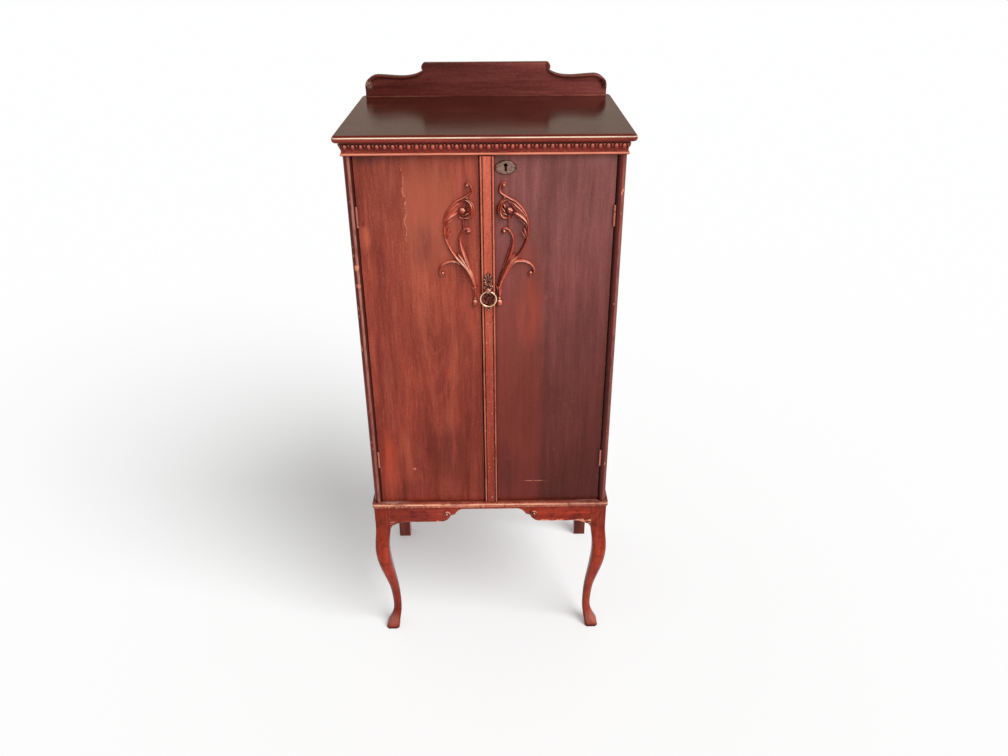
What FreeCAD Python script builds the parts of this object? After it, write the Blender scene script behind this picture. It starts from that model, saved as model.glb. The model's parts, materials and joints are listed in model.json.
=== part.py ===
import FreeCAD
import Part
import math
import os

# Sheet music cabinet: two plain slab doors between rounded case sides, six shelves, a moulded frieze under
# the top board, a shaped gallery board at the back, cabriole legs in front and straight legs behind, all joined
# by aprons.
# Millimetres, +Z up, the front faces -Y. The origin is on the floor under the middle of the top board.

Vector = FreeCAD.Vector

# Heights, from the floor up
leg_height = 342.0
base_thickness = 11.0
doorway_height = 717.5
frieze_height = 23.0
top_thickness = 12.5
gallery_height = 64.0

# Case
top_width = 508.0
top_depth = 378.0
top_front_overhang = 13.0
top_side_overhang = 14.5
top_back_overhang = 3.0
side_thickness = 15.0
back_panel_thickness = 6.0
back_panel_rebate = 8.0
base_overhang = 6.0
base_lower_radius = 3.5
base_upper_radius = 1.5

# Top board edge: a rounded nosing below a thin raised field
top_step = 1.0
top_step_inset = 5.5
nosing_radius = 5.0
top_corner_radius = 5.0

# Frieze rails: a bead, a fillet and a hollow that leans out under the top
front_rail_depth = 38.0
back_rail_depth = 20.0
bead_height = 5.5
bead_projection = 3.0
fillet_height = 3.0
fillet_projection = 0.8
hollow_projection = 4.0
hollow_sag = 0.5
cap_height = 0.6

# Gallery board
gallery_width = 485.0
gallery_thickness = 16.0
gallery_field_sink = 2.0
gallery_end_height = 22.0
gallery_leaf_width = 12.0
gallery_leaf_bottom = 15.0
gallery_wing_height = 41.7
gallery_wing_low = 39.0
gallery_low_share = 0.48
gallery_hook_height = 44.0
gallery_hook_share = 0.12
gallery_shoulder = 28.0
gallery_rim = 4.0
gallery_centre_width = 252.4
gallery_cusp_height = 49.5
gallery_scroll_bulge = 2.4
gallery_scroll_round = 3.7
dowel_radius = 4.0
dowel_in_top = 8.0
dowel_in_gallery = 22.0
dowel_spacing = 175.0
dowel_clearance = 0.1

# Shelves
shelf_count = 6
shelf_thickness = 8.0
shelf_housing = 5.0
shelf_setback = 12.0
housing_clearance = 0.1
cut_margin = 1.0

# Doors
door_thickness = 18.0
door_setback = 6.0
door_side_gap = 1.0
door_end_gap = 1.5
meeting_gap = 2.0
meeting_offset = 2.5
door_stop_height = 12.0
door_stop_depth = 8.0
door_stop_inset = 20.0
door_stop_gap = 0.3

# Cover strip on the right door's meeting edge
astragal_width = 24.0
astragal_projection = 7.0
astragal_bead = 3.4
astragal_groove = 1.9
astragal_groove_depth = 2.0

# Butt hinges
hinge_length = 38.0
hinge_end_distance = 105.0
hinge_leaf_width = 22.0
hinge_leaf_thickness = 1.2
hinge_knuckles = 3
knuckle_radius = 2.2
knuckle_gap = 0.2
knuckle_clearance = 0.3
pin_radius = 0.9
pin_clearance = 0.05
pin_lead = 2.4
hinge_screw_radius = 1.1
hinge_screw_head_radius = 2.2
hinge_screw_length = 9.0
hinge_screw_spacing = 22.0
screw_clearance = 0.1

# Lock on the right door, its bolt shooting up into the frieze
key_from_meeting_edge = 44.2
key_below_door_top = 16.5
key_radius = 3.0
key_slot_width = 2.4
key_slot_drop = 10.0
key_depth_in_lock = 5.0
escutcheon_width = 37.0
escutcheon_height = 24.0
escutcheon_thickness = 1.2
escutcheon_pin_radius = 0.8
escutcheon_pin_length = 8.0
escutcheon_pin_inset = 3.4
lock_width = 46.0
lock_height = 36.0
lock_depth = 9.0
lock_clearance = 0.15
bolt_width = 20.0
bolt_thickness = 5.0
bolt_height = 11.0
bolt_clearance = 0.2
bolt_travel = 8.0
strike_width = 36.0
strike_depth = 13.0
strike_thickness = 1.5
strike_clearance = 0.6
lock_screw_radius = 1.2
lock_screw_head_radius = 2.4
lock_screw_head_height = 1.4
lock_screw_length = 13.0
lock_screw_inset = 6.0

# Bolt inside the left door
slide_from_edge = 20.0
slide_width = 6.0
slide_thickness = 5.0
slide_length = 60.0
slide_travel = 10.0
slide_plate_width = 18.0
slide_plate_thickness = 1.5
slide_guide_height = 9.0
slide_guide_wall = 1.5
slide_top_drop = 0.5
slide_plate_length = 46.0
slide_knob_radius = 3.0
slide_knob_length = 7.0
keeper_margin = 3.0
slide_screw_head_radius = 1.7
slide_screw_radius = 1.1

# Ring pull on the cover strip
ring_diameter = 31.5
ring_wire = 2.9
ring_wire_flats = 12
pull_below_door_top = 242.0
plate_thickness = 1.6
plate_rise = 35.0
plate_drop = 38.5
plate_palmette_half = 6.5
plate_neck_half = 3.0
plate_volute_half = 8.0
plate_dish_half = 11.5
stud_head_radius = 3.4
stud_head_length = 8.0
ring_lead = 4.0
ring_hole_radius = 2.15
stud_radius = 2.0
stud_clearance = 0.15
nut_across = 9.0
nut_thickness = 4.0
nut_clearance = 0.05
stud_end = 1.0

# Carved scroll on each door: places are (distance from the strip's middle, height over the lowest ball)
applique_below_door_top = 268.5
applique_sink = 0.6
applique_sink_step = 0.15
applique_base = 1.2
applique_relief = 0.95
applique_shoulder = 0.62
applique_shoulder_height = 0.7
ball_sink_share = 0.35
stem_stations = [
    (21.3, 28.5, 2.6), (25.7, 45.5, 3.2), (31.3, 61.5, 4.0), (41.3, 77.5, 4.2), (51.3, 90.0, 3.0),
    (59.2, 100.5, 2.3), (66.9, 115.0, 2.3), (72.7, 130.5, 3.0), (74.7, 146.5, 4.0), (72.2, 161.0, 5.0),
    (64.2, 175.5, 5.5), (49.7, 188.0, 5.0), (36.2, 195.0, 3.4), (28.2, 200.5, 2.6), (24.0, 207.5, 2.2),
    (24.7, 214.0, 2.0), (28.7, 217.5, 1.8)]
low_scroll_stations = [
    (43.7, 79.0, 2.4), (56.1, 80.0, 2.6), (68.1, 79.2, 2.4), (78.2, 74.5, 2.2), (83.7, 65.5, 2.2),
    (82.5, 57.0, 2.0), (77.9, 55.0, 1.8)]
rosette_stations = [
    (44.5, 191.0, 3.0), (36.5, 190.5, 4.0), (27.5, 186.5, 4.6), (22.8, 176.5, 4.6), (25.2, 165.5, 4.2),
    (33.5, 160.0, 3.6), (41.5, 161.5, 2.8), (45.0, 167.0, 2.4), (43.5, 172.0, 2.2)]
inner_stem_stations = [
    (36.2, 78.0, 3.0), (41.7, 92.0, 3.0), (45.3, 103.0, 2.6), (46.5, 115.0, 2.2), (46.1, 125.5, 2.0),
    (42.7, 133.0, 1.9), (37.2, 137.0, 1.7), (32.9, 136.2, 1.6)]
big_leaf_stations = [(72.7, 148.0, 2.4), (65.7, 157.0, 4.6), (57.7, 164.5, 4.2), (48.2, 169.5, 1.2)]
small_leaf_stations = [(70.2, 123.0, 1.4), (67.5, 130.5, 2.6), (62.7, 138.5, 1.0)]
base_leaf_stations = [(28.7, 55.0, 2.4), (37.7, 77.0, 4.8), (47.7, 87.0, 3.6), (57.7, 90.0, 1.0)]
side_leaf_stations = [(31.7, 64.0, 2.6), (37.2, 84.0, 3.8), (39.3, 100.0, 1.0)]
husk_stations = [
    (20.9, 33.0, 2.6), (21.0, 29.5, 4.2), (21.2, 22.0, 3.6), (21.5, 10.0, 2.2), (21.9, 3.0, 1.8)]
scroll_balls = [
    (22.0, 0.0, 4.7), (30.1, 217.5, 3.6), (78.3, 58.5, 3.0), (31.9, 134.0, 2.8), (39.3, 171.8, 5.2)]

# Legs
leg_block = 30.0
leg_block_height = 46.0
leg_inset = 3.5
rear_leg_inset = 3.0
leg_arris = 5.0
knee_drop = 110.0
knee_bulge = 5.0
knee_width = 29.0
ankle_height = 66.0
ankle_set_in = 19.5
ankle_width = 16.8
foot_pad = 3.0
foot_width = 28.5
foot_set_in = 2.3
rear_foot_width = 28.0
rear_leg_arris = 2.0

# Aprons
apron_thickness = 14.0
apron_set_back = 0.5
apron_height = 37.0
apron_ear_drop = 8.0
apron_ear_width = 9.0
apron_ear_run = 28.0
arch_crown = 4.5
arch_half = 56.0
arch_end_run = 18.0
arch_end_drop = 13.5
arch_step_run = 9.0
arch_step_drop = 3.0
arch_foot_run = 23.0
corner_block_size = 32.0
corner_block_height = 30.0

# Levels and planes worked out from the sizes above
base_bottom = leg_height
base_top = base_bottom + base_thickness
frieze_bottom = base_top + doorway_height
top_bottom = frieze_bottom + frieze_height
top_surface = top_bottom + top_thickness
top_front = -top_depth / 2
top_back = top_depth / 2
case_front = top_front + top_front_overhang
case_back = top_back - top_back_overhang
case_half = top_width / 2 - top_side_overhang
inner_half = case_half - side_thickness
panel_front = case_back - back_panel_thickness
base_half = case_half + base_overhang
base_front = case_front - base_overhang
door_front = case_front + door_setback
door_back = door_front + door_thickness
door_bottom = base_top + door_end_gap
door_top = frieze_bottom - door_end_gap
door_outer = inner_half - door_side_gap
right_free_edge = meeting_offset - astragal_width / 2
left_free_edge = right_free_edge - meeting_gap
strip_front = door_front - astragal_projection
pin_x = inner_half - door_side_gap / 2
pin_y = door_front - pin_lead
key_x = right_free_edge + key_from_meeting_edge
key_z = door_top - key_below_door_top
lock_front = door_back - lock_depth
bolt_y = door_back - lock_depth / 2
slide_x = left_free_edge - slide_from_edge
slide_back = door_back + slide_plate_thickness
slide_y = slide_back + slide_thickness / 2 + bolt_clearance
slide_top = door_top - slide_top_drop
pull_z = door_top - pull_below_door_top
plate_front = strip_front - plate_thickness
ring_y = plate_front - ring_lead
ring_radius = (ring_diameter - ring_wire) / 2
leg_half = base_half - leg_inset
leg_front = base_front + leg_inset
leg_back = case_back - rear_leg_inset
upper_hinge_z = door_top - hinge_end_distance
lower_hinge_z = door_bottom + hinge_end_distance


def export(name, shapes):
    """Write one node: a single solid, or a group of separate solids."""
    shape = Part.makeCompound(shapes) if isinstance(shapes, list) else shapes
    shape.exportStep("parts/%s.step" % name)
    print("%-20s solids %2d  mm3 %10.1f  valid %s" % (name, len(shape.Solids), shape.Volume, shape.isValid()))


def box(x0, x1, y0, y1, z0, z1):
    return Part.makeBox(x1 - x0, y1 - y0, z1 - z0, Vector(x0, y0, z0))


def rod(radius, start, direction, length):
    return Part.makeCylinder(radius, length, start, direction)


def line(a, b):
    return Part.LineSegment(a, b).toShape()


def arc(a, middle, b):
    return Part.Arc(a, middle, b).toShape()


def curve(points):
    spline = Part.BSplineCurve()
    spline.interpolate(points)
    return spline.toShape()


def prism(edges, direction):
    return Part.Face(Part.Wire(edges)).extrude(direction)


def flipped(shape):
    """Mirror image across the middle plane x = 0."""
    return shape.mirror(Vector(0, 0, 0), Vector(1, 0, 0))


def edges_where(shape, test):
    return [edge for edge in shape.Edges if test(edge)]


def lies_flat_at(edge, height):
    box_of_edge = edge.BoundBox
    return abs(box_of_edge.ZMin - height) < 1e-6 and abs(box_of_edge.ZMax - height) < 1e-6


def front_and_side_edges(shape, height, back):
    """Edges of a board's face at one height, all but the straight one along its back."""
    return edges_where(shape, lambda e: lies_flat_at(e, height) and e.BoundBox.YMin < back - 1e-6)


def board(half, front, back, bottom, top, corner_radius):
    """Flat board with its two front corners rounded in plan."""
    blank = box(-half, half, front, back, bottom, top)
    corners = edges_where(blank, lambda e: e.BoundBox.XLength < 1e-6 and e.BoundBox.YMax < front + 1e-6)
    return blank.makeFillet(corner_radius, corners)


def make_top_board():
    nosing_top = top_surface - top_step
    plan_radius = top_corner_radius + nosing_radius
    nosing = board(top_width / 2, top_front, top_back, top_bottom, nosing_top, plan_radius)
    nosing = nosing.makeFillet(nosing_radius, front_and_side_edges(nosing, nosing_top, top_back))
    nosing = nosing.makeFillet(nosing_radius, front_and_side_edges(nosing, top_bottom, top_back))
    field_half = top_width / 2 - top_step_inset
    field_front = top_front + top_step_inset
    field = board(field_half, field_front, top_back, nosing_top, top_surface, top_corner_radius)
    return nosing.fuse(field).removeSplitter().cut(Part.makeCompound(make_dowels(dowel_clearance)))


def make_base_board():
    base = board(base_half, base_front, case_back, base_bottom, base_top, base_lower_radius * 2)
    base = base.makeFillet(base_lower_radius, front_and_side_edges(base, base_bottom, case_back))
    return base.makeFillet(base_upper_radius, front_and_side_edges(base, base_top, case_back))


def make_dowels(clearance=0.0):
    """Dowels that fix the gallery board to the top."""
    middle = top_back - gallery_thickness / 2
    start = top_surface - dowel_in_top - clearance
    length = dowel_in_top + dowel_in_gallery + 2 * clearance
    return [rod(dowel_radius + clearance, Vector(x, middle, start), Vector(0, 0, 1), length)
            for x in (-dowel_spacing, 0, dowel_spacing)]


def make_gallery():
    """Board with low wings, a cusp and a raised centre; the field is sunk behind a rim along each wing."""
    front = top_back - gallery_thickness
    end = gallery_width / 2
    centre = gallery_centre_width / 2
    shoulder = end - gallery_shoulder
    low = centre + (shoulder - centre) * gallery_low_share
    hook = centre + (shoulder - centre) * gallery_hook_share
    round_start = centre - gallery_scroll_round
    scroll_height = (gallery_cusp_height + gallery_height) / 2
    rise = gallery_wing_height - gallery_end_height

    def at(x, height):
        return Vector(x, front, top_surface + height)

    half = [
        line(at(0, 0), at(end, 0)),
        line(at(end, 0), at(end, gallery_end_height)),
        arc(at(end, gallery_end_height),
            at(end - gallery_shoulder * 0.27, gallery_wing_height - rise * 0.37),
            at(shoulder, gallery_wing_height)),
        curve([at(shoulder, gallery_wing_height), at(low, gallery_wing_low), at(hook, gallery_hook_height),
               at(centre, gallery_cusp_height)]),
        arc(at(centre, gallery_cusp_height), at(centre + gallery_scroll_bulge, scroll_height),
            at(round_start, gallery_height)),
        line(at(round_start, gallery_height), at(0, gallery_height)),
        line(at(0, gallery_height), at(0, 0))]
    right = prism(half, Vector(0, gallery_thickness, 0))
    leaf = end - gallery_leaf_width
    inner_wing = gallery_wing_height - gallery_rim
    margin = gallery_rim
    sunk = [
        line(at(0, -margin), at(end + margin, -margin)),
        line(at(end + margin, -margin), at(end + margin, gallery_leaf_bottom)),
        line(at(end + margin, gallery_leaf_bottom), at(end, gallery_leaf_bottom)),
        arc(at(end, gallery_leaf_bottom), at(end - gallery_leaf_width * 0.7, gallery_end_height),
            at(leaf, inner_wing)),
        curve([at(leaf, inner_wing), at(low, gallery_wing_low - margin), at(hook, gallery_hook_height - margin),
               at(centre - margin, gallery_cusp_height)]),
        line(at(centre - margin, gallery_cusp_height), at(centre - margin, gallery_height + margin)),
        line(at(centre - margin, gallery_height + margin), at(0, gallery_height + margin)),
        line(at(0, gallery_height + margin), at(0, -margin))]
    right = right.cut(prism(sunk, Vector(0, gallery_field_sink, 0)))
    whole = right.fuse(flipped(right)).removeSplitter()
    return whole.cut(Part.makeCompound(make_dowels(dowel_clearance)))


def frieze_profile(inner_face, outward, place):
    """Closed moulding section; outward(d) lies d beyond the case face, place(position, height) is a point."""
    bead_top = frieze_bottom + bead_height
    hollow_bottom = bead_top + fillet_height
    hollow_top = top_bottom - cap_height
    mean_projection = (fillet_projection + hollow_projection) / 2
    back_low = place(inner_face, frieze_bottom)
    bead_low = place(outward(fillet_projection), frieze_bottom)
    bead_tip = place(outward(bead_projection), frieze_bottom + bead_height / 2)
    bead_high = place(outward(fillet_projection), bead_top)
    hollow_low = place(outward(fillet_projection), hollow_bottom)
    hollow_middle = place(outward(mean_projection - hollow_sag), (hollow_bottom + hollow_top) / 2)
    hollow_high = place(outward(hollow_projection), hollow_top)
    cap = place(outward(hollow_projection), top_bottom)
    back_high = place(inner_face, top_bottom)
    return [
        line(back_low, bead_low), arc(bead_low, bead_tip, bead_high), line(bead_high, hollow_low),
        arc(hollow_low, hollow_middle, hollow_high), line(hollow_high, cap), line(cap, back_high),
        line(back_high, back_low)]


def mitre_wedge():
    """Everything to the right of the mitre at the right front corner, seen from above."""
    reach = hollow_projection + side_thickness
    outer = Vector(case_half + 2 * reach, case_front - 2 * reach, frieze_bottom)
    inner = Vector(case_half - 2 * reach, case_front + 2 * reach, frieze_bottom)
    far = Vector(case_half + 2 * reach, case_front + 2 * reach, frieze_bottom)
    edges = [line(outer, inner), line(inner, far), line(far, outer)]
    return prism(edges, Vector(0, 0, frieze_height))


def make_frieze_front():
    reach = case_half + hollow_projection
    inner_face = case_front + side_thickness

    def place(y, z):
        return Vector(-reach, y, z)

    rail = prism(frieze_profile(inner_face, lambda out: case_front - out, place), Vector(2 * reach, 0, 0))
    wedge = mitre_wedge()
    rail = rail.cut(wedge).cut(flipped(wedge))
    inner = box(-inner_half, inner_half, inner_face, case_front + front_rail_depth, frieze_bottom, top_bottom)
    rail = rail.fuse(inner).removeSplitter()
    for pocket in (lock_strike_space(), keeper_space()):
        rail = rail.cut(pocket)
    return rail


def make_frieze_right():
    front = case_front - hollow_projection

    def place(x, z):
        return Vector(x, front, z)

    rail = prism(frieze_profile(inner_half, lambda out: case_half + out, place),
                 Vector(0, case_back - front, 0))
    return rail.common(mitre_wedge().fuse(beyond_mitre()))


def beyond_mitre():
    """The side rail's straight run behind its mitre."""
    reach = hollow_projection + side_thickness
    start = case_front + 2 * reach
    return box(case_half - 2 * reach, case_half + 2 * reach, start, case_back, frieze_bottom, top_bottom)


def make_frieze_back():
    return box(-inner_half, inner_half, case_back - back_rail_depth, case_back, frieze_bottom, top_bottom)


def shelf_level(number):
    """Upper face of a shelf, counted from the bottom, with equal spaces between them."""
    return base_top + number * (top_bottom - base_top) / (shelf_count + 1)


def make_shelf(number):
    top = shelf_level(number)
    half = inner_half + shelf_housing - housing_clearance
    return box(-half, half, door_back + shelf_setback, panel_front, top - shelf_thickness, top)


def hinge_heights():
    return (upper_hinge_z, lower_hinge_z)


def make_side_right():
    """Case side with a full round front edge, shelf housings, back rebate and hinge mortises."""
    radius = side_thickness / 2
    tangent = case_front + radius

    def at(x, y):
        return Vector(x, y, base_top)

    outline = [
        line(at(inner_half, case_back), at(inner_half, tangent)),
        arc(at(inner_half, tangent), at(inner_half + radius, case_front), at(case_half, tangent)),
        line(at(case_half, tangent), at(case_half, case_back)),
        line(at(case_half, case_back), at(inner_half, case_back))]
    side = prism(outline, Vector(0, 0, doorway_height))
    mouth = inner_half - cut_margin
    rebate_floor = inner_half + back_panel_rebate
    cuts = [box(mouth, rebate_floor, panel_front, case_back + cut_margin, base_top, frieze_bottom)]
    shelf_front = door_back + shelf_setback - housing_clearance
    up = Vector(0, 0, 1)
    for number in range(1, shelf_count + 1):
        top = shelf_level(number) + housing_clearance
        bottom = shelf_level(number) - shelf_thickness - housing_clearance
        cuts.append(box(mouth, inner_half + shelf_housing, shelf_front, panel_front, bottom, top))
    for middle in hinge_heights():
        low = middle - hinge_length / 2
        cuts.append(box(mouth, inner_half + hinge_leaf_thickness, case_front - cut_margin,
                        pin_y + hinge_leaf_width, low, low + hinge_length))
        cuts.append(rod(knuckle_radius + knuckle_clearance, Vector(pin_x, pin_y, low), up, hinge_length))
    cuts += hinge_screws(1, screw_clearance)
    return side.cut(Part.makeCompound(cuts))


def make_back_panel():
    half = inner_half + back_panel_rebate - housing_clearance
    return box(-half, half, panel_front, case_back, base_top, frieze_bottom)


def make_door_stop():
    half = inner_half - door_stop_inset
    start = door_back + door_stop_gap
    return box(-half, half, start, start + door_stop_depth, base_top, base_top + door_stop_height)


def knuckle_span(index, middle):
    """Lower and upper end of one hinge knuckle, counted from the bottom of the hinge."""
    pitch = hinge_length / hinge_knuckles
    low = middle - hinge_length / 2 + index * pitch
    return low + knuckle_gap / 2, low + pitch - knuckle_gap / 2


def hinge_leaf(middle, first_knuckle, plate_x):
    """Leaf of a right-hand hinge: a plate whose front edge is rolled into every second knuckle."""
    low = middle - hinge_length / 2
    leaf_back = pin_y + hinge_leaf_width
    leaf = box(plate_x, plate_x + hinge_leaf_thickness, pin_y, leaf_back, low, low + hinge_length)
    barrel = knuckle_radius + knuckle_gap
    up = Vector(0, 0, 1)
    own = range(first_knuckle, hinge_knuckles, 2)
    for index in range(hinge_knuckles):
        start, end = knuckle_span(index, middle)
        if index not in own:
            foot = Vector(pin_x, pin_y, start - knuckle_gap)
            leaf = leaf.cut(rod(barrel, foot, up, end - start + 2 * knuckle_gap))
    for index in own:
        start, end = knuckle_span(index, middle)
        leaf = leaf.fuse(rod(knuckle_radius, Vector(pin_x, pin_y, start), up, end - start))
    bore = rod(pin_radius + pin_clearance, Vector(pin_x, pin_y, low), up, hinge_length)
    return leaf.cut(bore).removeSplitter()


def hinge_screws(direction, clearance=0.0):
    """Countersunk screws of both right-hand hinges: direction 1 goes into the side, -1 into the door."""
    face = inner_half if direction > 0 else door_outer
    screws = []
    for middle in hinge_heights():
        for offset in (-hinge_screw_spacing / 2, hinge_screw_spacing / 2):
            at = Vector(face, pin_y + hinge_leaf_width * 0.6, middle + offset)
            along = Vector(direction, 0, 0)
            shank = rod(hinge_screw_radius + clearance, at, along, hinge_screw_length + clearance)
            head = Part.makeCone(hinge_screw_head_radius + clearance, hinge_screw_radius + clearance,
                                 hinge_leaf_thickness, at, along)
            screws.append(shank.fuse(head).removeSplitter())
    return screws


def hinge_case_leaves():
    holes = Part.makeCompound(hinge_screws(1, screw_clearance))
    return [hinge_leaf(middle, 0, inner_half).cut(holes) for middle in hinge_heights()]


def hinge_door_leaves():
    holes = Part.makeCompound(hinge_screws(-1, screw_clearance))
    plate_x = door_outer - hinge_leaf_thickness
    return [hinge_leaf(middle, 1, plate_x).cut(holes) for middle in hinge_heights()]


def hinge_pins():
    return [rod(pin_radius, Vector(pin_x, pin_y, middle - hinge_length / 2), Vector(0, 0, 1), hinge_length)
            for middle in hinge_heights()]


def hinge_mortises_in_door():
    leaf_back = pin_y + hinge_leaf_width
    cuts = [box(door_outer - hinge_leaf_thickness, door_outer + cut_margin,
                door_front - cut_margin, leaf_back,
                middle - hinge_length / 2, middle + hinge_length / 2) for middle in hinge_heights()]
    return Part.makeCompound(cuts + hinge_screws(-1, screw_clearance))


def lock_body(clearance):
    return box(key_x - lock_width / 2 - clearance, key_x + lock_width / 2 + clearance,
               lock_front - clearance, door_back, door_top - lock_height - clearance, door_top)


def key_hole(start, end):
    """Round hole with the key bit's slot below it, through y = start to end."""
    hole = rod(key_radius, Vector(key_x, start, key_z), Vector(0, 1, 0), end - start)
    half = key_slot_width / 2
    slot = box(key_x - half, key_x + half, start, end, key_z - key_slot_drop, key_z)
    return hole.fuse(slot)


def lock_screws(clearance=0.0):
    screws = []
    for x in (key_x - lock_width / 2 + lock_screw_inset, key_x + lock_width / 2 - lock_screw_inset):
        z = door_top - lock_height + lock_screw_inset
        inward = Vector(0, -1, 0)
        at = Vector(x, door_back, z)
        shank = rod(lock_screw_radius + clearance, at, inward, lock_screw_length + clearance)
        head = Part.makeCone(lock_screw_head_radius + clearance, lock_screw_radius + clearance,
                             lock_screw_head_height, at, inward)
        screws.append(shank.fuse(head).removeSplitter())
    return screws


def bolt_body(clearance, rise=0.0):
    low = door_top - bolt_height - clearance
    half_width = bolt_width / 2 + clearance
    half_depth = bolt_thickness / 2 + clearance
    return box(key_x - half_width, key_x + half_width, bolt_y - half_depth, bolt_y + half_depth,
               low, door_top + rise)


def make_lock_case():
    case = lock_body(0).cut(bolt_body(bolt_clearance))
    case = case.cut(key_hole(lock_front, lock_front + key_depth_in_lock))
    return case.cut(Part.makeCompound(lock_screws(screw_clearance)))


def strike_plate(clearance):
    return box(key_x - strike_width / 2 - clearance, key_x + strike_width / 2 + clearance,
               bolt_y - strike_depth / 2 - clearance, bolt_y + strike_depth / 2 + clearance,
               frieze_bottom, frieze_bottom + strike_thickness)


def make_lock_strike():
    return strike_plate(0).cut(bolt_body(strike_clearance, bolt_travel))


def lock_strike_space():
    """Recess for the strike plate and the bolt's mortise above it."""
    return strike_plate(housing_clearance).fuse(bolt_body(strike_clearance, bolt_travel + strike_clearance))


def slide_rod(clearance, rise=0.0):
    return box(slide_x - slide_width / 2 - clearance, slide_x + slide_width / 2 + clearance,
               slide_y - slide_thickness / 2 - clearance, slide_y + slide_thickness / 2 + clearance,
               slide_top - slide_length, slide_top + rise)


def make_left_bolt():
    """Sliding rod with a small finger knob."""
    knob_z = slide_top - slide_length / 2
    knob = rod(slide_knob_radius, Vector(slide_x, slide_y, knob_z), Vector(0, 1, 0), slide_knob_length)
    return slide_rod(0).fuse(knob).removeSplitter()


def make_left_bolt_plate():
    """Back plate with two guide straps that carry the rod."""
    half = slide_plate_width / 2
    top = door_top
    plate = box(slide_x - half, slide_x + half, door_back, slide_back, top - slide_plate_length, top)
    strap_half = slide_width / 2 + bolt_clearance + slide_guide_wall
    strap_back = slide_y + slide_thickness / 2 + bolt_clearance + slide_guide_wall
    for start in (top - slide_guide_height, top - slide_plate_length):
        plate = plate.fuse(box(slide_x - strap_half, slide_x + strap_half, door_back, strap_back,
                               start, start + slide_guide_height))
    return plate.removeSplitter().cut(slide_rod(bolt_clearance, slide_travel)).cut(left_bolt_holes())


def left_bolt_screws(clearance=0.0):
    screws = []
    offset = (slide_plate_width + slide_width) / 4 + slide_guide_wall
    for side in (-1, 1):
        at = Vector(slide_x + side * offset, slide_back, door_top - slide_plate_length / 2)
        shank = rod(slide_screw_radius + clearance, at, Vector(0, -1, 0), hinge_screw_length + clearance)
        head = Part.makeCone(slide_screw_head_radius + clearance, slide_screw_radius + clearance,
                             slide_plate_thickness, at, Vector(0, -1, 0))
        screws.append(shank.fuse(head).removeSplitter())
    return screws


def left_bolt_holes():
    return Part.makeCompound(left_bolt_screws(screw_clearance))


def keeper_plate(clearance):
    half_width = slide_width / 2 + keeper_margin + strike_clearance + clearance
    half_depth = slide_thickness / 2 + keeper_margin + strike_clearance + clearance
    return box(slide_x - half_width, slide_x + half_width, slide_y - half_depth, slide_y + half_depth,
               frieze_bottom, frieze_bottom + strike_thickness)


def make_left_bolt_keeper():
    return keeper_plate(0).cut(slide_rod(strike_clearance, slide_travel + door_end_gap))


def keeper_space():
    mortise = slide_rod(strike_clearance, slide_travel + strike_clearance)
    return keeper_plate(housing_clearance).fuse(mortise)


def make_door_right():
    door = box(right_free_edge, door_outer, door_front, door_back, door_bottom, door_top)
    door = door.cut(hinge_mortises_in_door()).cut(lock_body(lock_clearance))
    door = door.cut(key_hole(door_front, lock_front)).cut(Part.makeCompound(lock_screws(screw_clearance)))
    return door.cut(pull_hole()).cut(Part.makeCompound(escutcheon_pins(screw_clearance)))


def make_door_left():
    door = box(-door_outer, left_free_edge, door_front, door_back, door_bottom, door_top)
    return door.cut(flipped(hinge_mortises_in_door())).cut(left_bolt_holes())


def make_astragal():
    """Cover strip: a flat between two grooves and two edge beads."""
    edge = right_free_edge
    far = edge + astragal_width
    groove_floor = strip_front + astragal_groove_depth
    bead = astragal_bead / 2

    def at(x, y):
        return Vector(x, y, door_bottom)

    def bead_arc(start):
        shoulder = strip_front + bead
        return arc(at(start, shoulder), at(start + bead, strip_front), at(start + astragal_bead, shoulder))

    second = far - astragal_bead
    flat_start = edge + astragal_bead + astragal_groove
    flat_end = second - astragal_groove
    shoulder = strip_front + bead
    outline = [
        line(at(edge, door_front), at(edge, shoulder)), bead_arc(edge),
        line(at(edge + astragal_bead, shoulder), at(edge + astragal_bead, groove_floor)),
        line(at(edge + astragal_bead, groove_floor), at(flat_start, groove_floor)),
        line(at(flat_start, groove_floor), at(flat_start, strip_front)),
        line(at(flat_start, strip_front), at(flat_end, strip_front)),
        line(at(flat_end, strip_front), at(flat_end, groove_floor)),
        line(at(flat_end, groove_floor), at(second, groove_floor)),
        line(at(second, groove_floor), at(second, shoulder)), bead_arc(second),
        line(at(far, shoulder), at(far, door_front)), line(at(far, door_front), at(edge, door_front))]
    strip = prism(outline, Vector(0, 0, door_top - door_bottom))
    return strip.cut(pull_hole())


def make_escutcheon():
    """Pointed oval plate round the keyhole."""
    front = door_front - escutcheon_thickness
    middle_z = key_z - key_slot_drop / 2 + key_radius / 3
    half = escutcheon_width / 2
    rise = escutcheon_height / 2

    def at(x, z):
        return Vector(key_x + x, front, middle_z + z)

    outline = [arc(at(-half, 0), at(0, rise), at(half, 0)), arc(at(half, 0), at(0, -rise), at(-half, 0))]
    plate = prism(outline, Vector(0, escutcheon_thickness, 0))
    plate = plate.cut(key_hole(front, door_front))
    return plate.cut(Part.makeCompound(escutcheon_pins(screw_clearance)))


def escutcheon_pins(clearance=0.0):
    front = door_front - escutcheon_thickness
    middle_z = key_z - key_slot_drop / 2 + key_radius / 3
    reach = escutcheon_width / 2 - escutcheon_pin_inset
    inward = Vector(0, 1, 0)
    return [rod(escutcheon_pin_radius + clearance, Vector(key_x + side * reach, front, middle_z), inward,
                escutcheon_pin_length + clearance) for side in (-1, 1)]


def pull_hole():
    start = strip_front - plate_thickness
    return rod(stud_radius + stud_clearance, Vector(meeting_offset, start, pull_z), Vector(0, 1, 0),
               door_back - start)


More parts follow.
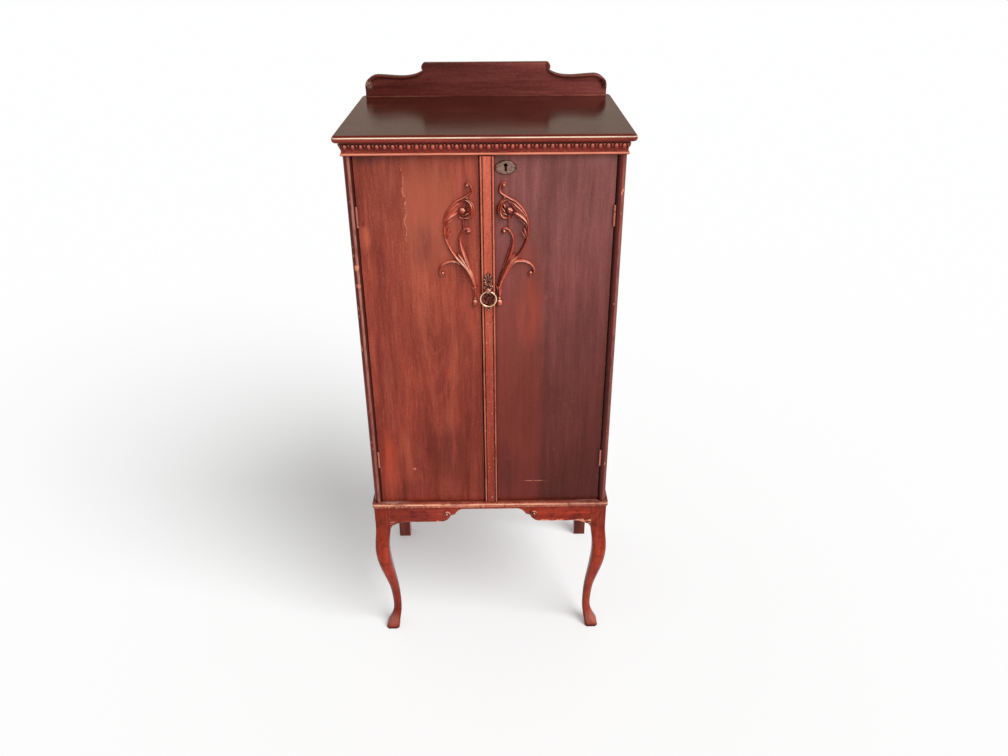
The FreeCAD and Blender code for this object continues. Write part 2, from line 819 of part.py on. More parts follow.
def make_pull_backplate():
    """Flat plate cut to a palmette above, two small volutes, a round dish and a pointed tip below."""
    waist = plate_volute_half * 0.8
    dish_top = -ring_radius * 0.2
    dish_bottom = -ring_radius * 1.65

    def at(x, z):
        return Vector(meeting_offset + x, plate_front, pull_z + z)

    def half_outline(side):
        neck = at(side * plate_neck_half, plate_rise * 0.38)
        volute = at(side * plate_volute_half, plate_rise * 0.12)
        upper = at(side * waist, dish_top)
        lower = at(side * waist, dish_bottom)
        return [
            arc(at(0, plate_rise), at(side * plate_palmette_half, plate_rise * 0.7), neck),
            arc(neck, at(side * plate_neck_half * 1.5, plate_rise * 0.2), volute),
            arc(volute, at(side * plate_volute_half * 1.05, 0), upper),
            arc(upper, at(side * plate_dish_half, -ring_radius), lower),
            arc(lower, at(side * plate_neck_half, dish_bottom * 1.2), at(0, -plate_drop))]

    edges = half_outline(1) + half_outline(-1)
    plate = Part.Face(Part.Wire(Part.__sortEdges__(edges))).extrude(Vector(0, plate_thickness, 0))
    return plate.cut(pull_hole())


def make_pull_stud():
    """Round head that the ring passes through, and the shank that goes through strip and door."""
    middle = Vector(meeting_offset, plate_front, pull_z)
    head = rod(stud_head_radius, middle, Vector(0, -1, 0), stud_head_length)
    front_edge = edges_where(head, lambda e: e.BoundBox.YMax < plate_front - stud_head_length + 1e-6)
    head = head.makeFillet(stud_head_radius * 0.6, front_edge)
    shank_length = door_back + nut_thickness + stud_end - plate_front
    shank = rod(stud_radius, middle, Vector(0, 1, 0), shank_length)
    across = Vector(meeting_offset - stud_head_radius * 2, ring_y, pull_z)
    hole = rod(ring_hole_radius, across, Vector(1, 0, 0), stud_head_radius * 4)
    return head.fuse(shank).removeSplitter().cut(hole)


def make_pull_nut():
    radius = nut_across / 2
    block = box(meeting_offset - radius, meeting_offset + radius, door_back, door_back + nut_thickness,
                pull_z - radius, pull_z + radius)
    middle = Vector(meeting_offset, door_back, pull_z)
    return block.cut(rod(stud_radius + nut_clearance, middle, Vector(0, 1, 0), nut_thickness))


def make_pull_ring():
    """Ring of round wire, its section drawn with flats so that it stays light."""
    turn = 2 * math.pi / ring_wire_flats
    middle = pull_z - 2 * ring_radius
    points = []
    for flat in range(ring_wire_flats + 1):
        angle = turn * (flat % ring_wire_flats + 0.5)
        points.append(Vector(meeting_offset, ring_y + ring_wire / 2 * math.cos(angle),
                             middle + ring_wire / 2 * math.sin(angle)))
    centre = Vector(meeting_offset, ring_y, pull_z - ring_radius)
    return Part.Face(Part.makePolygon(points)).revolve(centre, Vector(0, 1, 0), 360)


def limb(stations, sink, hand):
    """Carved limb with a crest and sloping shoulders, along stations of (place out, place up, half width)."""
    foot = door_top - applique_below_door_top
    path = Part.BSplineCurve()
    path.interpolate([Vector(hand * out, door_front, foot + up) for out, up, half in stations])
    knots = path.getKnots()
    sections = []
    for index, knot in enumerate(knots):
        half = stations[index][2]
        sections.append(limb_section(path, knot, half, sink))
        if index + 1 < len(knots):
            middle = (knot + knots[index + 1]) / 2
            sections.append(limb_section(path, middle, (half + stations[index + 1][2]) / 2, sink))
    return Part.makeLoft(sections, True, True)


def limb_section(path, parameter, half, sink):
    """Five-sided section square to the path, its floor sunk below the door's face for trimming."""
    place = path.value(parameter)
    along = path.tangent(parameter)[0]
    across = Vector(along.z, 0, -along.x)
    relief = half * applique_relief + applique_base

    def at(side, height):
        return place + across * (side * half) + Vector(0, -height, 0)

    shoulder = relief * applique_shoulder_height
    points = [at(-1, -sink), at(-1, 0), at(-applique_shoulder, shoulder), at(0, relief),
              at(applique_shoulder, shoulder), at(1, 0), at(1, -sink), at(-1, -sink)]
    return Part.makePolygon(points)


def make_applique(hand):
    """Scroll of one door (hand 1 is the right one): limbs and balls joined, then trimmed flat on the face."""
    foot = door_top - applique_below_door_top
    runs = [stem_stations, low_scroll_stations, rosette_stations, inner_stem_stations, big_leaf_stations,
            small_leaf_stations, base_leaf_stations, side_leaf_stations, husk_stations]
    shapes = [limb(run, applique_sink + applique_sink_step * number, hand) for number, run in enumerate(runs)]
    for out, up, radius in scroll_balls:
        centre = Vector(hand * out, door_front - radius * ball_sink_share, foot + up)
        shapes.append(Part.makeSphere(radius, centre))
    whole = shapes[0].multiFuse(shapes[1:])
    ahead = box(-door_outer, door_outer, case_front - door_thickness, door_front, door_bottom, door_top)
    return whole.common(ahead)


def eased(share):
    return (1 - math.cos(math.pi * share)) / 2


def leg_stations():
    """Height, outward offset, width and arris down the leg, from the block to the top of the foot pad."""
    block_bottom = leg_height - leg_block_height
    knee = leg_height - knee_drop
    stations = [(block_bottom, 0.0, leg_block, 0.0)]
    for share in (0.33, 0.67, 1.0):
        s = eased(share)
        stations.append((block_bottom + (knee - block_bottom) * share, knee_bulge * s,
                         leg_block + (knee_width - leg_block) * s, leg_arris * s))
    for share in (0.25, 0.5, 0.75, 1.0):
        s = eased(share)
        stations.append((knee + (ankle_height - knee) * share, knee_bulge - (knee_bulge + ankle_set_in) * s,
                         knee_width + (ankle_width - knee_width) * s, leg_arris))
    for share in (0.4, 0.7, 0.88, 1.0):
        s = eased(share * share)
        stations.append((ankle_height + (foot_pad - ankle_height) * share,
                         -ankle_set_in + (ankle_set_in - foot_set_in) * s,
                         ankle_width + (foot_width - ankle_width) * s, leg_arris))
    return stations


def sawn_face(outer, inner, at):
    """Face between two curves of (distance, height) pairs that run down the leg; at() places a pair."""
    high = leg_height
    outer_curve = curve([at(d, z) for d, z in outer])
    inner_curve = curve([at(d, z) for d, z in reversed(inner)])
    edges = [
        line(at(outer[0][0], high), at(*outer[0])), outer_curve, line(at(*outer[-1]), at(outer[-1][0], 0)),
        line(at(outer[-1][0], 0), at(inner[-1][0], 0)), line(at(inner[-1][0], 0), at(*inner[-1])),
        inner_curve,
        line(at(*inner[0]), at(inner[0][0], high)), line(at(inner[0][0], high), at(outer[0][0], high))]
    return Part.Face(Part.Wire(edges))


def make_leg():
    """Right front cabriole leg, sawn from two sides and then eased along its four corners."""
    corner = Vector(leg_half, leg_front, 0)
    reach = 2 * leg_block
    root = math.sqrt(2)
    outward = Vector(1, -1, 0) / root
    sideways = Vector(1, 1, 0) / root
    stations = leg_stations()
    outer = [(out, z) for z, out, width, arris in stations]
    inner = [(out - width, z) for z, out, width, arris in stations]
    corner_outer = [(out * root - arris / root, z) for z, out, width, arris in stations]
    corner_inner = [((out - width) * root + arris / root, z) for z, out, width, arris in stations]
    half_spread = [((width - arris) / root, z) for z, out, width, arris in stations]
    other_spread = [(-spread, z) for spread, z in half_spread]
    up = Vector(0, 0, 1)

    def slab(near, far, direction, through):
        face = sawn_face(near, far, lambda d, z: corner + direction * d + up * z - through * reach)
        return face.extrude(through * 2 * reach)

    leg = slab(outer, inner, Vector(1, 0, 0), Vector(0, 1, 0))
    leg = leg.common(slab(outer, inner, Vector(0, -1, 0), Vector(1, 0, 0)))
    leg = leg.common(slab(corner_outer, corner_inner, outward, sideways))
    leg = leg.common(slab(half_spread, other_spread, sideways, outward))
    return leg.removeSplitter().Solids[0]


def make_rear_leg():
    """Right rear leg: a square post, tapered below the block on its two inner faces, its outer corner eased."""
    block_bottom = leg_height - leg_block_height
    reach = 2 * leg_block
    up = Vector(0, 0, 1)

    def slab(inward, through):
        start = Vector(leg_half, leg_back, 0) - through * reach
        places = [(0, 0), (0, leg_height), (leg_block, leg_height), (leg_block, block_bottom), (rear_foot_width, 0)]
        points = [start + inward * d + up * z for d, z in places]
        return Part.Face(Part.makePolygon(points + points[:1])).extrude(through * 2 * reach)

    leg = slab(Vector(-1, 0, 0), Vector(0, 1, 0)).common(slab(Vector(0, -1, 0), Vector(1, 0, 0)))
    outer_corner = edges_where(leg, lambda edge: edge.BoundBox.XMin > leg_half - 1 and edge.BoundBox.YMin > leg_back - 1)
    return leg.makeFillet(rear_leg_arris, outer_corner).Solids[0]


def make_apron_front():
    """Front apron: low ears at the legs, a stepped ogee and a flat arch up to the base board."""
    front = leg_front + apron_set_back
    end = leg_half - leg_block

    def at(x, drop):
        return Vector(x, front, base_bottom - drop)

    step_start = arch_half + arch_end_run
    step_end = step_start + arch_step_run
    ogee_end = step_end + arch_foot_run
    step_drop = arch_crown + arch_end_drop
    ogee_drop = step_drop + arch_step_drop
    ear_tip = end - apron_ear_width
    ear_start = ear_tip - apron_ear_run
    ear_drop = apron_height + apron_ear_drop
    half = [
        line(at(0, 0), at(0, arch_crown)),
        line(at(0, arch_crown), at(arch_half, arch_crown)),
        arc(at(arch_half, arch_crown), at(arch_half + arch_end_run * 0.68, arch_crown + arch_end_drop * 0.38),
            at(step_start, step_drop)),
        line(at(step_start, step_drop), at(step_end, ogee_drop)),
        arc(at(step_end, ogee_drop), at(step_end + arch_foot_run * 0.33, (ogee_drop + apron_height * 2) / 3),
            at(ogee_end, apron_height)),
        line(at(ogee_end, apron_height), at(ear_start, apron_height)),
        arc(at(ear_start, apron_height),
            at(ear_tip - apron_ear_run * 0.4, apron_height + apron_ear_drop * 0.3), at(ear_tip, ear_drop)),
        arc(at(ear_tip, ear_drop), at(end - apron_ear_width * 0.35, ear_drop - apron_ear_drop * 0.15),
            at(end, apron_height)),
        line(at(end, apron_height), at(end, 0)),
        line(at(end, 0), at(0, 0))]
    right = prism(half, Vector(0, apron_thickness, 0))
    return right.fuse(flipped(right)).removeSplitter()


def make_apron_right():
    outer = leg_half - apron_set_back
    return box(outer - apron_thickness, outer, leg_front + leg_block, leg_back - leg_block,
               base_bottom - apron_height, base_bottom)


def make_apron_back():
    half = leg_half - leg_block
    back = leg_back - apron_set_back
    return box(-half, half, back - apron_thickness, back, base_bottom - apron_height, base_bottom)


def corner_blocks():
    """Triangular glue blocks under the base board, behind the front apron and before the back one."""
    end = leg_half - leg_block
    blocks = []
    for face, toward in ((leg_front + apron_set_back + apron_thickness, 1),
                         (leg_back - apron_set_back - apron_thickness, -1)):
        low = base_bottom - corner_block_height
        corner = Vector(end, face, low)
        along = Vector(end - corner_block_size, face, low)
        back = Vector(end, face + toward * corner_block_size, low)
        edges = [line(corner, along), line(along, back), line(back, corner)]
        block = prism(edges, Vector(0, 0, corner_block_height))
        blocks += [block, flipped(block)]
    return blocks


os.makedirs("parts", exist_ok=True)

export("top_board", make_top_board())
export("gallery", make_gallery())
export("gallery_dowels", make_dowels())
export("frieze_front", make_frieze_front())
frieze_right = make_frieze_right()
export("frieze_right", frieze_right)
export("frieze_left", flipped(frieze_right))
export("frieze_back", make_frieze_back())
side_right = make_side_right()
export("side_right", side_right)
export("side_left", flipped(side_right))
export("back_panel", make_back_panel())
export("base_board", make_base_board())
export("door_stop", make_door_stop())
for shelf_number in range(1, shelf_count + 1):
    export("shelf_%d" % shelf_number, make_shelf(shelf_number))

export("door_left", make_door_left())
export("door_right", make_door_right())
export("astragal", make_astragal())
export("applique_right", make_applique(1))
export("applique_left", make_applique(-1))

case_leaves = hinge_case_leaves()
export("hinge_case_leaves", case_leaves + [flipped(leaf) for leaf in case_leaves])
door_leaves = hinge_door_leaves()
export("hinge_leaves_right", door_leaves)
export("hinge_leaves_left", [flipped(leaf) for leaf in door_leaves])
pins = hinge_pins()
export("hinge_pins", pins + [flipped(pin) for pin in pins])
case_screws = hinge_screws(1)
export("hinge_screws_case", case_screws + [flipped(screw) for screw in case_screws])
door_screws = hinge_screws(-1)
export("hinge_screws_right", door_screws)
export("hinge_screws_left", [flipped(screw) for screw in door_screws])

export("escutcheon", make_escutcheon())
export("escutcheon_pins", escutcheon_pins())
export("lock_case", make_lock_case())
export("lock_bolt", bolt_body(0))
export("lock_screws", lock_screws())
export("lock_strike", make_lock_strike())
export("left_bolt", make_left_bolt())
export("left_bolt_plate", make_left_bolt_plate())
export("left_bolt_screws", left_bolt_screws())
export("left_bolt_keeper", make_left_bolt_keeper())

export("pull_backplate", make_pull_backplate())
export("pull_stud", make_pull_stud())
export("pull_nut", make_pull_nut())
export("pull_ring", make_pull_ring())

leg = make_leg()
leg_rear = make_rear_leg()
export("leg_front_right", leg)
export("leg_front_left", flipped(leg))
export("leg_rear_right", leg_rear)
export("leg_rear_left", flipped(leg_rear))
export("apron_front", make_apron_front())
apron_right = make_apron_right()
export("apron_right", apron_right)
export("apron_left", flipped(apron_right))
export("apron_back", make_apron_back())
export("corner_blocks", corner_blocks())
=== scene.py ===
# %% [markdown]
# # Finishing a sheet music cabinet
# A red mahogany music cabinet about 1.17 m high: two slab doors with carved scrolls, an egg-and-dart
# frieze, a shaped gallery on the top and cabriole legs in front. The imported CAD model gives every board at
# its real size. This lesson adds what the carver, the polisher and a century of use did to it.

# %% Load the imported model
import json
import math

import bmesh
import bpy
from mathutils import Matrix, Vector

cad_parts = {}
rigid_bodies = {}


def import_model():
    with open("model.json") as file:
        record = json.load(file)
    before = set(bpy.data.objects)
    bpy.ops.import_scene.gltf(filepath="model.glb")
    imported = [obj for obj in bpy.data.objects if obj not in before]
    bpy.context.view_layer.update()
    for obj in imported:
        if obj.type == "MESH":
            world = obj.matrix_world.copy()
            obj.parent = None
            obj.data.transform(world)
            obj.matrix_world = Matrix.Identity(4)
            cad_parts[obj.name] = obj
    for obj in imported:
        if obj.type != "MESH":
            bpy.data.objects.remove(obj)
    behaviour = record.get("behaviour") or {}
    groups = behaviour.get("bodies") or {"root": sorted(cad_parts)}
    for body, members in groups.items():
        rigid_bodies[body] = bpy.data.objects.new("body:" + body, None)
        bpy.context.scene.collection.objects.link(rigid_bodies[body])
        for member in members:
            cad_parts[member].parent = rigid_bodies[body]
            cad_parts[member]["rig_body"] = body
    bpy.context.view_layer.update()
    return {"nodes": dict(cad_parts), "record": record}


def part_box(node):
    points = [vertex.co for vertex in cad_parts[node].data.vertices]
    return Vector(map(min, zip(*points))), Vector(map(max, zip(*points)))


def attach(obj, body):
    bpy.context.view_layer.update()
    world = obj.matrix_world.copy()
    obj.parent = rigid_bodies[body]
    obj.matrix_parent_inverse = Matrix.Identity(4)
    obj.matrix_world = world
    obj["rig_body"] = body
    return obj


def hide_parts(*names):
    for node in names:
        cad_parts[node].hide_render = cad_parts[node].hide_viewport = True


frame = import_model()
mm = 0.001
slot_of = {row["node"]: row["material_slot"] for row in frame["record"]["subparts"]}

# %% [markdown]
# ## The camera
# The picture was taken by someone standing in front of the cabinet and looking down on it. The corners of
# the top, the doors, the base and the feet fix where that eye was, how far it tipped down, and how wide its
# lens is. The camera could be turned with Euler angles, but three direction vectors put into a matrix keep
# tip, turn and roll apart.

# %% Set up the camera
camera_place = Vector((0.0174, -1.5884, 1.4078))
camera_tip = math.radians(28.33)
camera_turn = math.radians(0.51)
camera_roll = math.radians(-0.29)
lens_length = 29.914
sensor_width = 36.0


def camera_matrix():
    ahead = Vector((math.sin(camera_turn), math.cos(camera_turn), 0))
    right = Vector((math.cos(camera_turn), -math.sin(camera_turn), 0))
    up = Vector((0, 0, 1))
    sight = ahead * math.cos(camera_tip) - up * math.sin(camera_tip)
    over = up * math.cos(camera_tip) + ahead * math.sin(camera_tip)
    rolled_right = right * math.cos(camera_roll) + over * math.sin(camera_roll)
    rolled_over = over * math.cos(camera_roll) - right * math.sin(camera_roll)
    turned = Matrix((rolled_right, rolled_over, -sight)).transposed()
    return Matrix.Translation(camera_place) @ turned.to_4x4()


camera_data = bpy.data.cameras.new("eye")
camera_data.lens = lens_length
camera_data.sensor_width = sensor_width
camera = bpy.data.objects.new("eye", camera_data)
bpy.context.scene.collection.objects.link(camera)
camera.matrix_world = camera_matrix()
bpy.context.scene.camera = camera
bpy.context.scene.view_settings.view_transform = "Standard"
print("camera tips down", round(math.degrees(camera_tip), 2), "degrees")

# %% [markdown]
# ## Writing node trees in short
# Every finish and every repeated ornament below is a tree of nodes. Clicking them together is easy to
# learn, but a script can name the sizes and repeat itself. One call adds a node, sets its options and joins
# its inputs, so a tree reads like a sentence.


# %% Node helpers
def add_node(tree, kind, inputs=None, **options):
    """A new node; an input is given by name or number, as a plain value or as another node's output."""
    node = tree.nodes.new(kind)
    for option, value in options.items():
        setattr(node, option, value)
    for key, value in (inputs or {}).items():
        if isinstance(value, bpy.types.NodeSocket):
            tree.links.new(value, node.inputs[key])
        else:
            node.inputs[key].default_value = value
    return node


def tone(red, green, blue):
    """A colour as a picture shows it, 0 to 255, turned into the linear light that shaders work in."""
    linear = []
    for channel in (red, green, blue):
        share = channel / 255
        linear.append(share / 12.92 if share <= 0.04045 else ((share + 0.055) / 1.055) ** 2.4)
    return (*linear, 1.0)


def grey(level):
    return (level, level, level, 1.0)


print("a mid grey in linear light", round(tone(128, 128, 128)[0], 3))

# %% [markdown]
# ## A finish under way
# A finish is built up as a polisher does it: a ground colour, then marks laid over it one by one. Each mark
# is a mask from 0 to 1 that says where it lies. The class below holds the material and gives short names to
# the few kinds of node that the masks are made of, so that each finish further down is a list of what is
# seen on the wood.


# %% Finish helper
class Finish:
    """A material under way: its tree, its shader and short calls for the nodes that the finishes share."""

    def __init__(self, name):
        self.material = bpy.data.materials.new(name)
        self.material.use_nodes = True
        self.tree = self.material.node_tree
        self.shader = self.tree.nodes["Principled BSDF"]
        self.place = add_node(self.tree, "ShaderNodeTexCoord").outputs["Object"]

    def add(self, kind, inputs=None, **options):
        return add_node(self.tree, kind, inputs, **options)

    def set(self, **constants):
        for label, value in constants.items():
            self.shader.inputs[label.replace("_", " ")].default_value = value

    def join(self, label, socket):
        self.tree.links.new(socket, self.shader.inputs[label])

    def maths(self, operation, first, second=0.0, clamp=False):
        inputs = {0: first, 1: second}
        return self.add("ShaderNodeMath", inputs, operation=operation, use_clamp=clamp).outputs[0]

    def vector_maths(self, operation, first, second=(0, 0, 0)):
        return self.add("ShaderNodeVectorMath", {0: first, 1: second}, operation=operation).outputs

    def times(self, first, *others):
        for other in others:
            first = self.maths("MULTIPLY", first, other)
        return first

    def plus(self, first, second):
        return self.maths("ADD", first, second)

    def minus(self, first, second):
        return self.maths("SUBTRACT", first, second)

    def larger(self, first, second):
        return self.maths("MAXIMUM", first, second)

    def apart(self, value, middle=0.0):
        """How far a value lies from a middle, either way."""
        return self.maths("ABSOLUTE", self.minus(value, middle))

    def along(self, axis):
        """Where the surface lies along an axis, in metres."""
        return self.add("ShaderNodeSeparateXYZ", {0: self.place}).outputs[axis]

    def facing(self, axis):
        """How far the surface faces along an axis, from -1 to 1."""
        normal = self.add("ShaderNodeNewGeometry").outputs["Normal"]
        return self.add("ShaderNodeSeparateXYZ", {0: normal}).outputs[axis]

    def stretched(self, scale):
        return self.add("ShaderNodeMapping", {"Vector": self.place, "Scale": scale}).outputs[0]

    def noise(self, vector, scale, detail=3.0, roughness=0.55):
        inputs = {"Vector": vector, "Scale": scale, "Detail": detail, "Roughness": roughness}
        return self.add("ShaderNodeTexNoise", inputs).outputs["Fac"]

    def between(self, value, low, high, weak=0.0, strong=1.0):
        """A smooth step from weak to strong while the value goes from low to high."""
        inputs = {"Value": value, "From Min": low, "From Max": high, "To Min": weak, "To Max": strong}
        return self.add("ShaderNodeMapRange", inputs, interpolation_type="SMOOTHSTEP").outputs["Result"]

    def spots(self, vector, scale, low, high, weak=0.0, strong=1.0, detail=3.0, roughness=0.55):
        """Noise cut into spots: weak where it is under the low level, strong where it is over the high."""
        return self.between(self.noise(vector, scale, detail, roughness), low, high, weak, strong)

    def window(self, value, opens, full, wanes, shut):
        """1 from full to wanes, falling to 0 where it opens and where it is shut."""
        return self.times(self.between(value, opens, full), self.between(value, shut, wanes))

    def height_band(self, low, high):
        """1 between two heights, falling off within a millimetre outside them."""
        return self.window(self.along("Z"), low - mm, low, high, high + mm)

    def near(self, centre, reach):
        """1 at the centre of an ellipsoid of that reach, falling to 0 at its edge."""
        shifted = self.vector_maths("SUBTRACT", self.place, centre)[0]
        scaled = self.vector_maths("DIVIDE", shifted, reach)[0]
        return self.between(self.vector_maths("LENGTH", scaled)["Value"], 1.0, 0.2)

    def ramp(self, factor, stops):
        node = self.add("ShaderNodeValToRGB", {"Fac": factor})
        while len(node.color_ramp.elements) < len(stops):
            node.color_ramp.elements.new(1.0)
        for element, (position, colour) in zip(node.color_ramp.elements, stops):
            element.position = position
            element.color = colour
        return node.outputs["Color"]

    def blend(self, factor, first, second, kind="MIX"):
        inputs = {"Factor": factor, 6: first, 7: second}
        return self.add("ShaderNodeMix", inputs, data_type="RGBA", blend_type=kind).outputs[2]

    def fade(self, colour, share, stops):
        """Multiply the colour by shades that change with the share."""
        return self.blend(1.0, colour, self.ramp(share, stops), "MULTIPLY")

    def sharp_edges(self, radius):
        """How far the surface turns within that radius: 0 on a flat, more on an outer or inner edge."""
        rounded = self.add("ShaderNodeBevel", {"Radius": radius}, samples=6).outputs[0]
        flat = self.add("ShaderNodeNewGeometry").outputs["Normal"]
        agree = self.vector_maths("DOT_PRODUCT", rounded, flat)["Value"]
        return self.maths("SUBTRACT", 1.0, agree, clamp=True)

    def hidden(self, distance):
        """How deep the surface lies in a corner or a groove: 0 in the open, towards 1 inside."""
        node = self.add("ShaderNodeAmbientOcclusion", {"Distance": distance}, samples=8)
        return self.maths("SUBTRACT", 1.0, node.outputs["AO"], clamp=True)

    def bump(self, height, depth, strength):
        inputs = {"Height": height, "Distance": depth, "Strength": strength}
        self.join("Normal", self.add("ShaderNodeBump", inputs).outputs[0])


print("finish helper ready")

# %% [markdown]
# ## Floor and light
# The cabinet stands on a seamless white ground with a soft grey shadow to its left. A white floor could be
# made with more light, but that would bleach the wood too. Here the eye sees the floor's real shading with
# a little light of its own added, so the shadow stays; reflections see plain white, and all other light
# bounces off it as off pale paint.

# %% Floor
floor_reach = 60.0
floor_lift = 0.235
floor_tint = (0.79, 0.8, 0.804, 1.0)


def reflected_or_seen_through(tree):
    """1 for a ray that comes from a mirror-like or a clear surface, otherwise 0."""
    rays = add_node(tree, "ShaderNodeLightPath").outputs
    return add_node(tree, "ShaderNodeMath", {0: rays["Is Glossy Ray"], 1: rays["Is Transmission Ray"]},
                    operation="MAXIMUM").outputs[0]


floor_paint = bpy.data.materials.new("pale_floor")
floor_paint.use_nodes = True
floor_tree = floor_paint.node_tree
floor_tree.nodes.clear()
seen_directly = add_node(floor_tree, "ShaderNodeLightPath").outputs["Is Camera Ray"]
lift = add_node(floor_tree, "ShaderNodeMath", {0: seen_directly, 1: floor_lift},
                operation="MULTIPLY").outputs[0]
matt = add_node(floor_tree, "ShaderNodeBsdfDiffuse", {"Color": floor_tint}).outputs[0]
lifted = add_node(floor_tree, "ShaderNodeEmission", {"Color": (1, 1, 1, 1), "Strength": lift}).outputs[0]
ground = add_node(floor_tree, "ShaderNodeAddShader", {0: matt, 1: lifted}).outputs[0]
white = add_node(floor_tree, "ShaderNodeEmission", {"Color": (1, 1, 1, 1), "Strength": 1.0}).outputs[0]
both = add_node(floor_tree, "ShaderNodeMixShader", {
    0: reflected_or_seen_through(floor_tree), 1: ground, 2: white}).outputs[0]
add_node(floor_tree, "ShaderNodeOutputMaterial", {"Surface": both})

floor_mesh = bpy.data.meshes.new("floor")
corners = [(-floor_reach, -floor_reach, 0), (floor_reach, -floor_reach, 0),
           (floor_reach, floor_reach, 0), (-floor_reach, floor_reach, 0)]
floor_mesh.from_pydata(corners, [], [(0, 1, 2, 3)])
floor_mesh.materials.append(floor_paint)
floor = bpy.data.objects.new("floor", floor_mesh)
bpy.context.scene.collection.objects.link(floor)
print("the floor reaches", floor_reach, "m each way")

# %% Room and daylight
room_light = 0.36
room_tint = (1.0, 0.985, 0.965, 1.0)
reflected_tint = (0.43, 0.35, 0.285, 1.0)
sun_strength = 2.6
sun_spread = math.radians(40)
toward_sun = Vector((0.72, -0.64, 1.0))
world = bpy.data.worlds.new("room")
bpy.context.scene.world = world
world.use_nodes = True
room = world.node_tree
room.nodes.clear()
walls = add_node(room, "ShaderNodeBackground", {"Color": room_tint, "Strength": room_light}).outputs[0]
mirrored = add_node(room, "ShaderNodeBackground", {"Color": reflected_tint, "Strength": 1.0}).outputs[0]
unseen_room = add_node(room, "ShaderNodeMixShader", {
    0: reflected_or_seen_through(room), 1: walls, 2: mirrored}).outputs[0]
backdrop = add_node(room, "ShaderNodeBackground", {"Color": (1, 1, 1, 1), "Strength": 1.0}).outputs[0]
looked_at = add_node(room, "ShaderNodeLightPath").outputs["Is Camera Ray"]
room_mix = add_node(room, "ShaderNodeMixShader", {0: looked_at, 1: unseen_room, 2: backdrop}).outputs[0]
add_node(room, "ShaderNodeOutputWorld", {"Surface": room_mix})

daylight = bpy.data.lights.new("daylight", "SUN")
daylight.energy = sun_strength
daylight.angle = sun_spread
lamp = bpy.data.objects.new("daylight", daylight)
bpy.context.scene.collection.objects.link(lamp)
lamp.rotation_euler = toward_sun.to_track_quat("Z", "Y").to_euler()
print("daylight from", tuple(round(v, 2) for v in toward_sun.normalized()))

# %% [markdown]
# ## The mahogany
# Mahogany shows several scales at once: broad streaks down the board, veins, fine fibres and short dark
# pores. Here each is a noise stretched along the grain, with a little speckle over all. Red stain and
# varnish lie over it, rubbed through to bare salmon wood on the edges, a pale that also stands in as a
# painted highlight, and darkened in the corners with painted shade as well as old polish. An image of
# wood could give the grain but not the wear, which has to know where this cabinet's own edges are, so a
# bevel node finds them.

# %% Wood
bare_wood_and_highlight = tone(232, 150, 118)
shade_and_old_polish = tone(52, 14, 10)
grain_along = {"X": (0.07, 1, 1), "Z": (1, 1, 0.07)}


def wood(name, dark, body, pale, grain="Z", gloss=0.3, specular=0.15, worn=0.5, wear_radius=1.6 * mm,
         shade_and_grime=0.0, shade_and_grime_reach=6 * mm, shade_and_grime_from=0.25, bands=(), shade=None):
    """Stained and varnished mahogany. Bands are (low, high, share) heights worn pale, and
    shade(finish, colour) may add one piece's own changes of colour and marks, painted light and shade among
    them. Worn edges go pale, partly as a painted highlight; corners go dark with painted shade and old
    polish."""
    finish = Finish(name)
    fibres = finish.stretched(grain_along[grain])
    streak = finish.noise(fibres, 42.0, 4.0, 0.6)
    vein = finish.noise(fibres, 190.0, 3.0, 0.6)
    fibre = finish.noise(fibres, 520.0, 3.0, 0.6)
    pores = finish.spots(fibres, 1500.0, 0.6, 0.72, detail=2.0, roughness=0.5)
    mottle = finish.noise(finish.place, 6.5, 3.0, 0.5)
    speckle = finish.noise(finish.place, 340.0, 2.0, 0.6)
    fine = finish.minus(finish.plus(vein, speckle), 1.0)
    figure = finish.plus(finish.times(streak, 0.55), finish.times(fibre, 0.2))
    figure = finish.plus(figure, finish.times(mottle, 0.25))
    figure = finish.plus(figure, finish.times(fine, 0.22))
    colour = finish.ramp(figure, [(0.36, dark), (0.5, body), (0.66, pale)])
    colour = finish.blend(finish.times(pores, 0.35), colour, dark)
    if shade:
        colour = shade(finish, colour)
    # painted shade: corners, grooves and the ground round carving are darkened by ambient occlusion,
    # together with old polish
    if shade_and_grime:
        deep = finish.between(finish.hidden(shade_and_grime_reach), shade_and_grime_from, 0.9, 0.0, shade_and_grime)
        colour = finish.blend(deep, colour, shade_and_old_polish)
    scuffs = finish.spots(finish.place, 95.0, 0.42, 0.66, detail=4.0, roughness=0.65)
    # worn edges go to bare wood, and the pale also stands in as a painted highlight catching on them
    edge = finish.between(finish.sharp_edges(wear_radius), 0.006, 0.14)
    wear_and_highlight = finish.maths("MULTIPLY", finish.times(edge, scuffs), worn, clamp=True)
    for low, high, share in bands:
        patchy = finish.spots(fibres, 130.0, 0.38, 0.62, detail=4.0, roughness=0.6)
        wear_and_highlight = finish.larger(wear_and_highlight, finish.times(finish.height_band(low, high), patchy, share))
    finish.join("Base Color", finish.blend(wear_and_highlight, colour, bare_wood_and_highlight))
    dull = finish.plus(finish.times(finish.minus(mottle, 0.5), 0.25), gloss)
    finish.join("Roughness", finish.plus(dull, finish.times(wear_and_highlight, 0.25)))
    finish.bump(finish.minus(finish.times(fibre, 0.6), pores), 0.06 * mm, 0.35)
    finish.set(Specular_IOR_Level=specular)
    return finish.material


inner_finish = wood("plain_inside", tone(108, 66, 42), tone(140, 92, 60), tone(164, 114, 78), grain="X",
                    gloss=0.55, specular=0.25, worn=0.25)
print("grain runs along", sorted(grain_along), "and the inside is", inner_finish.name)

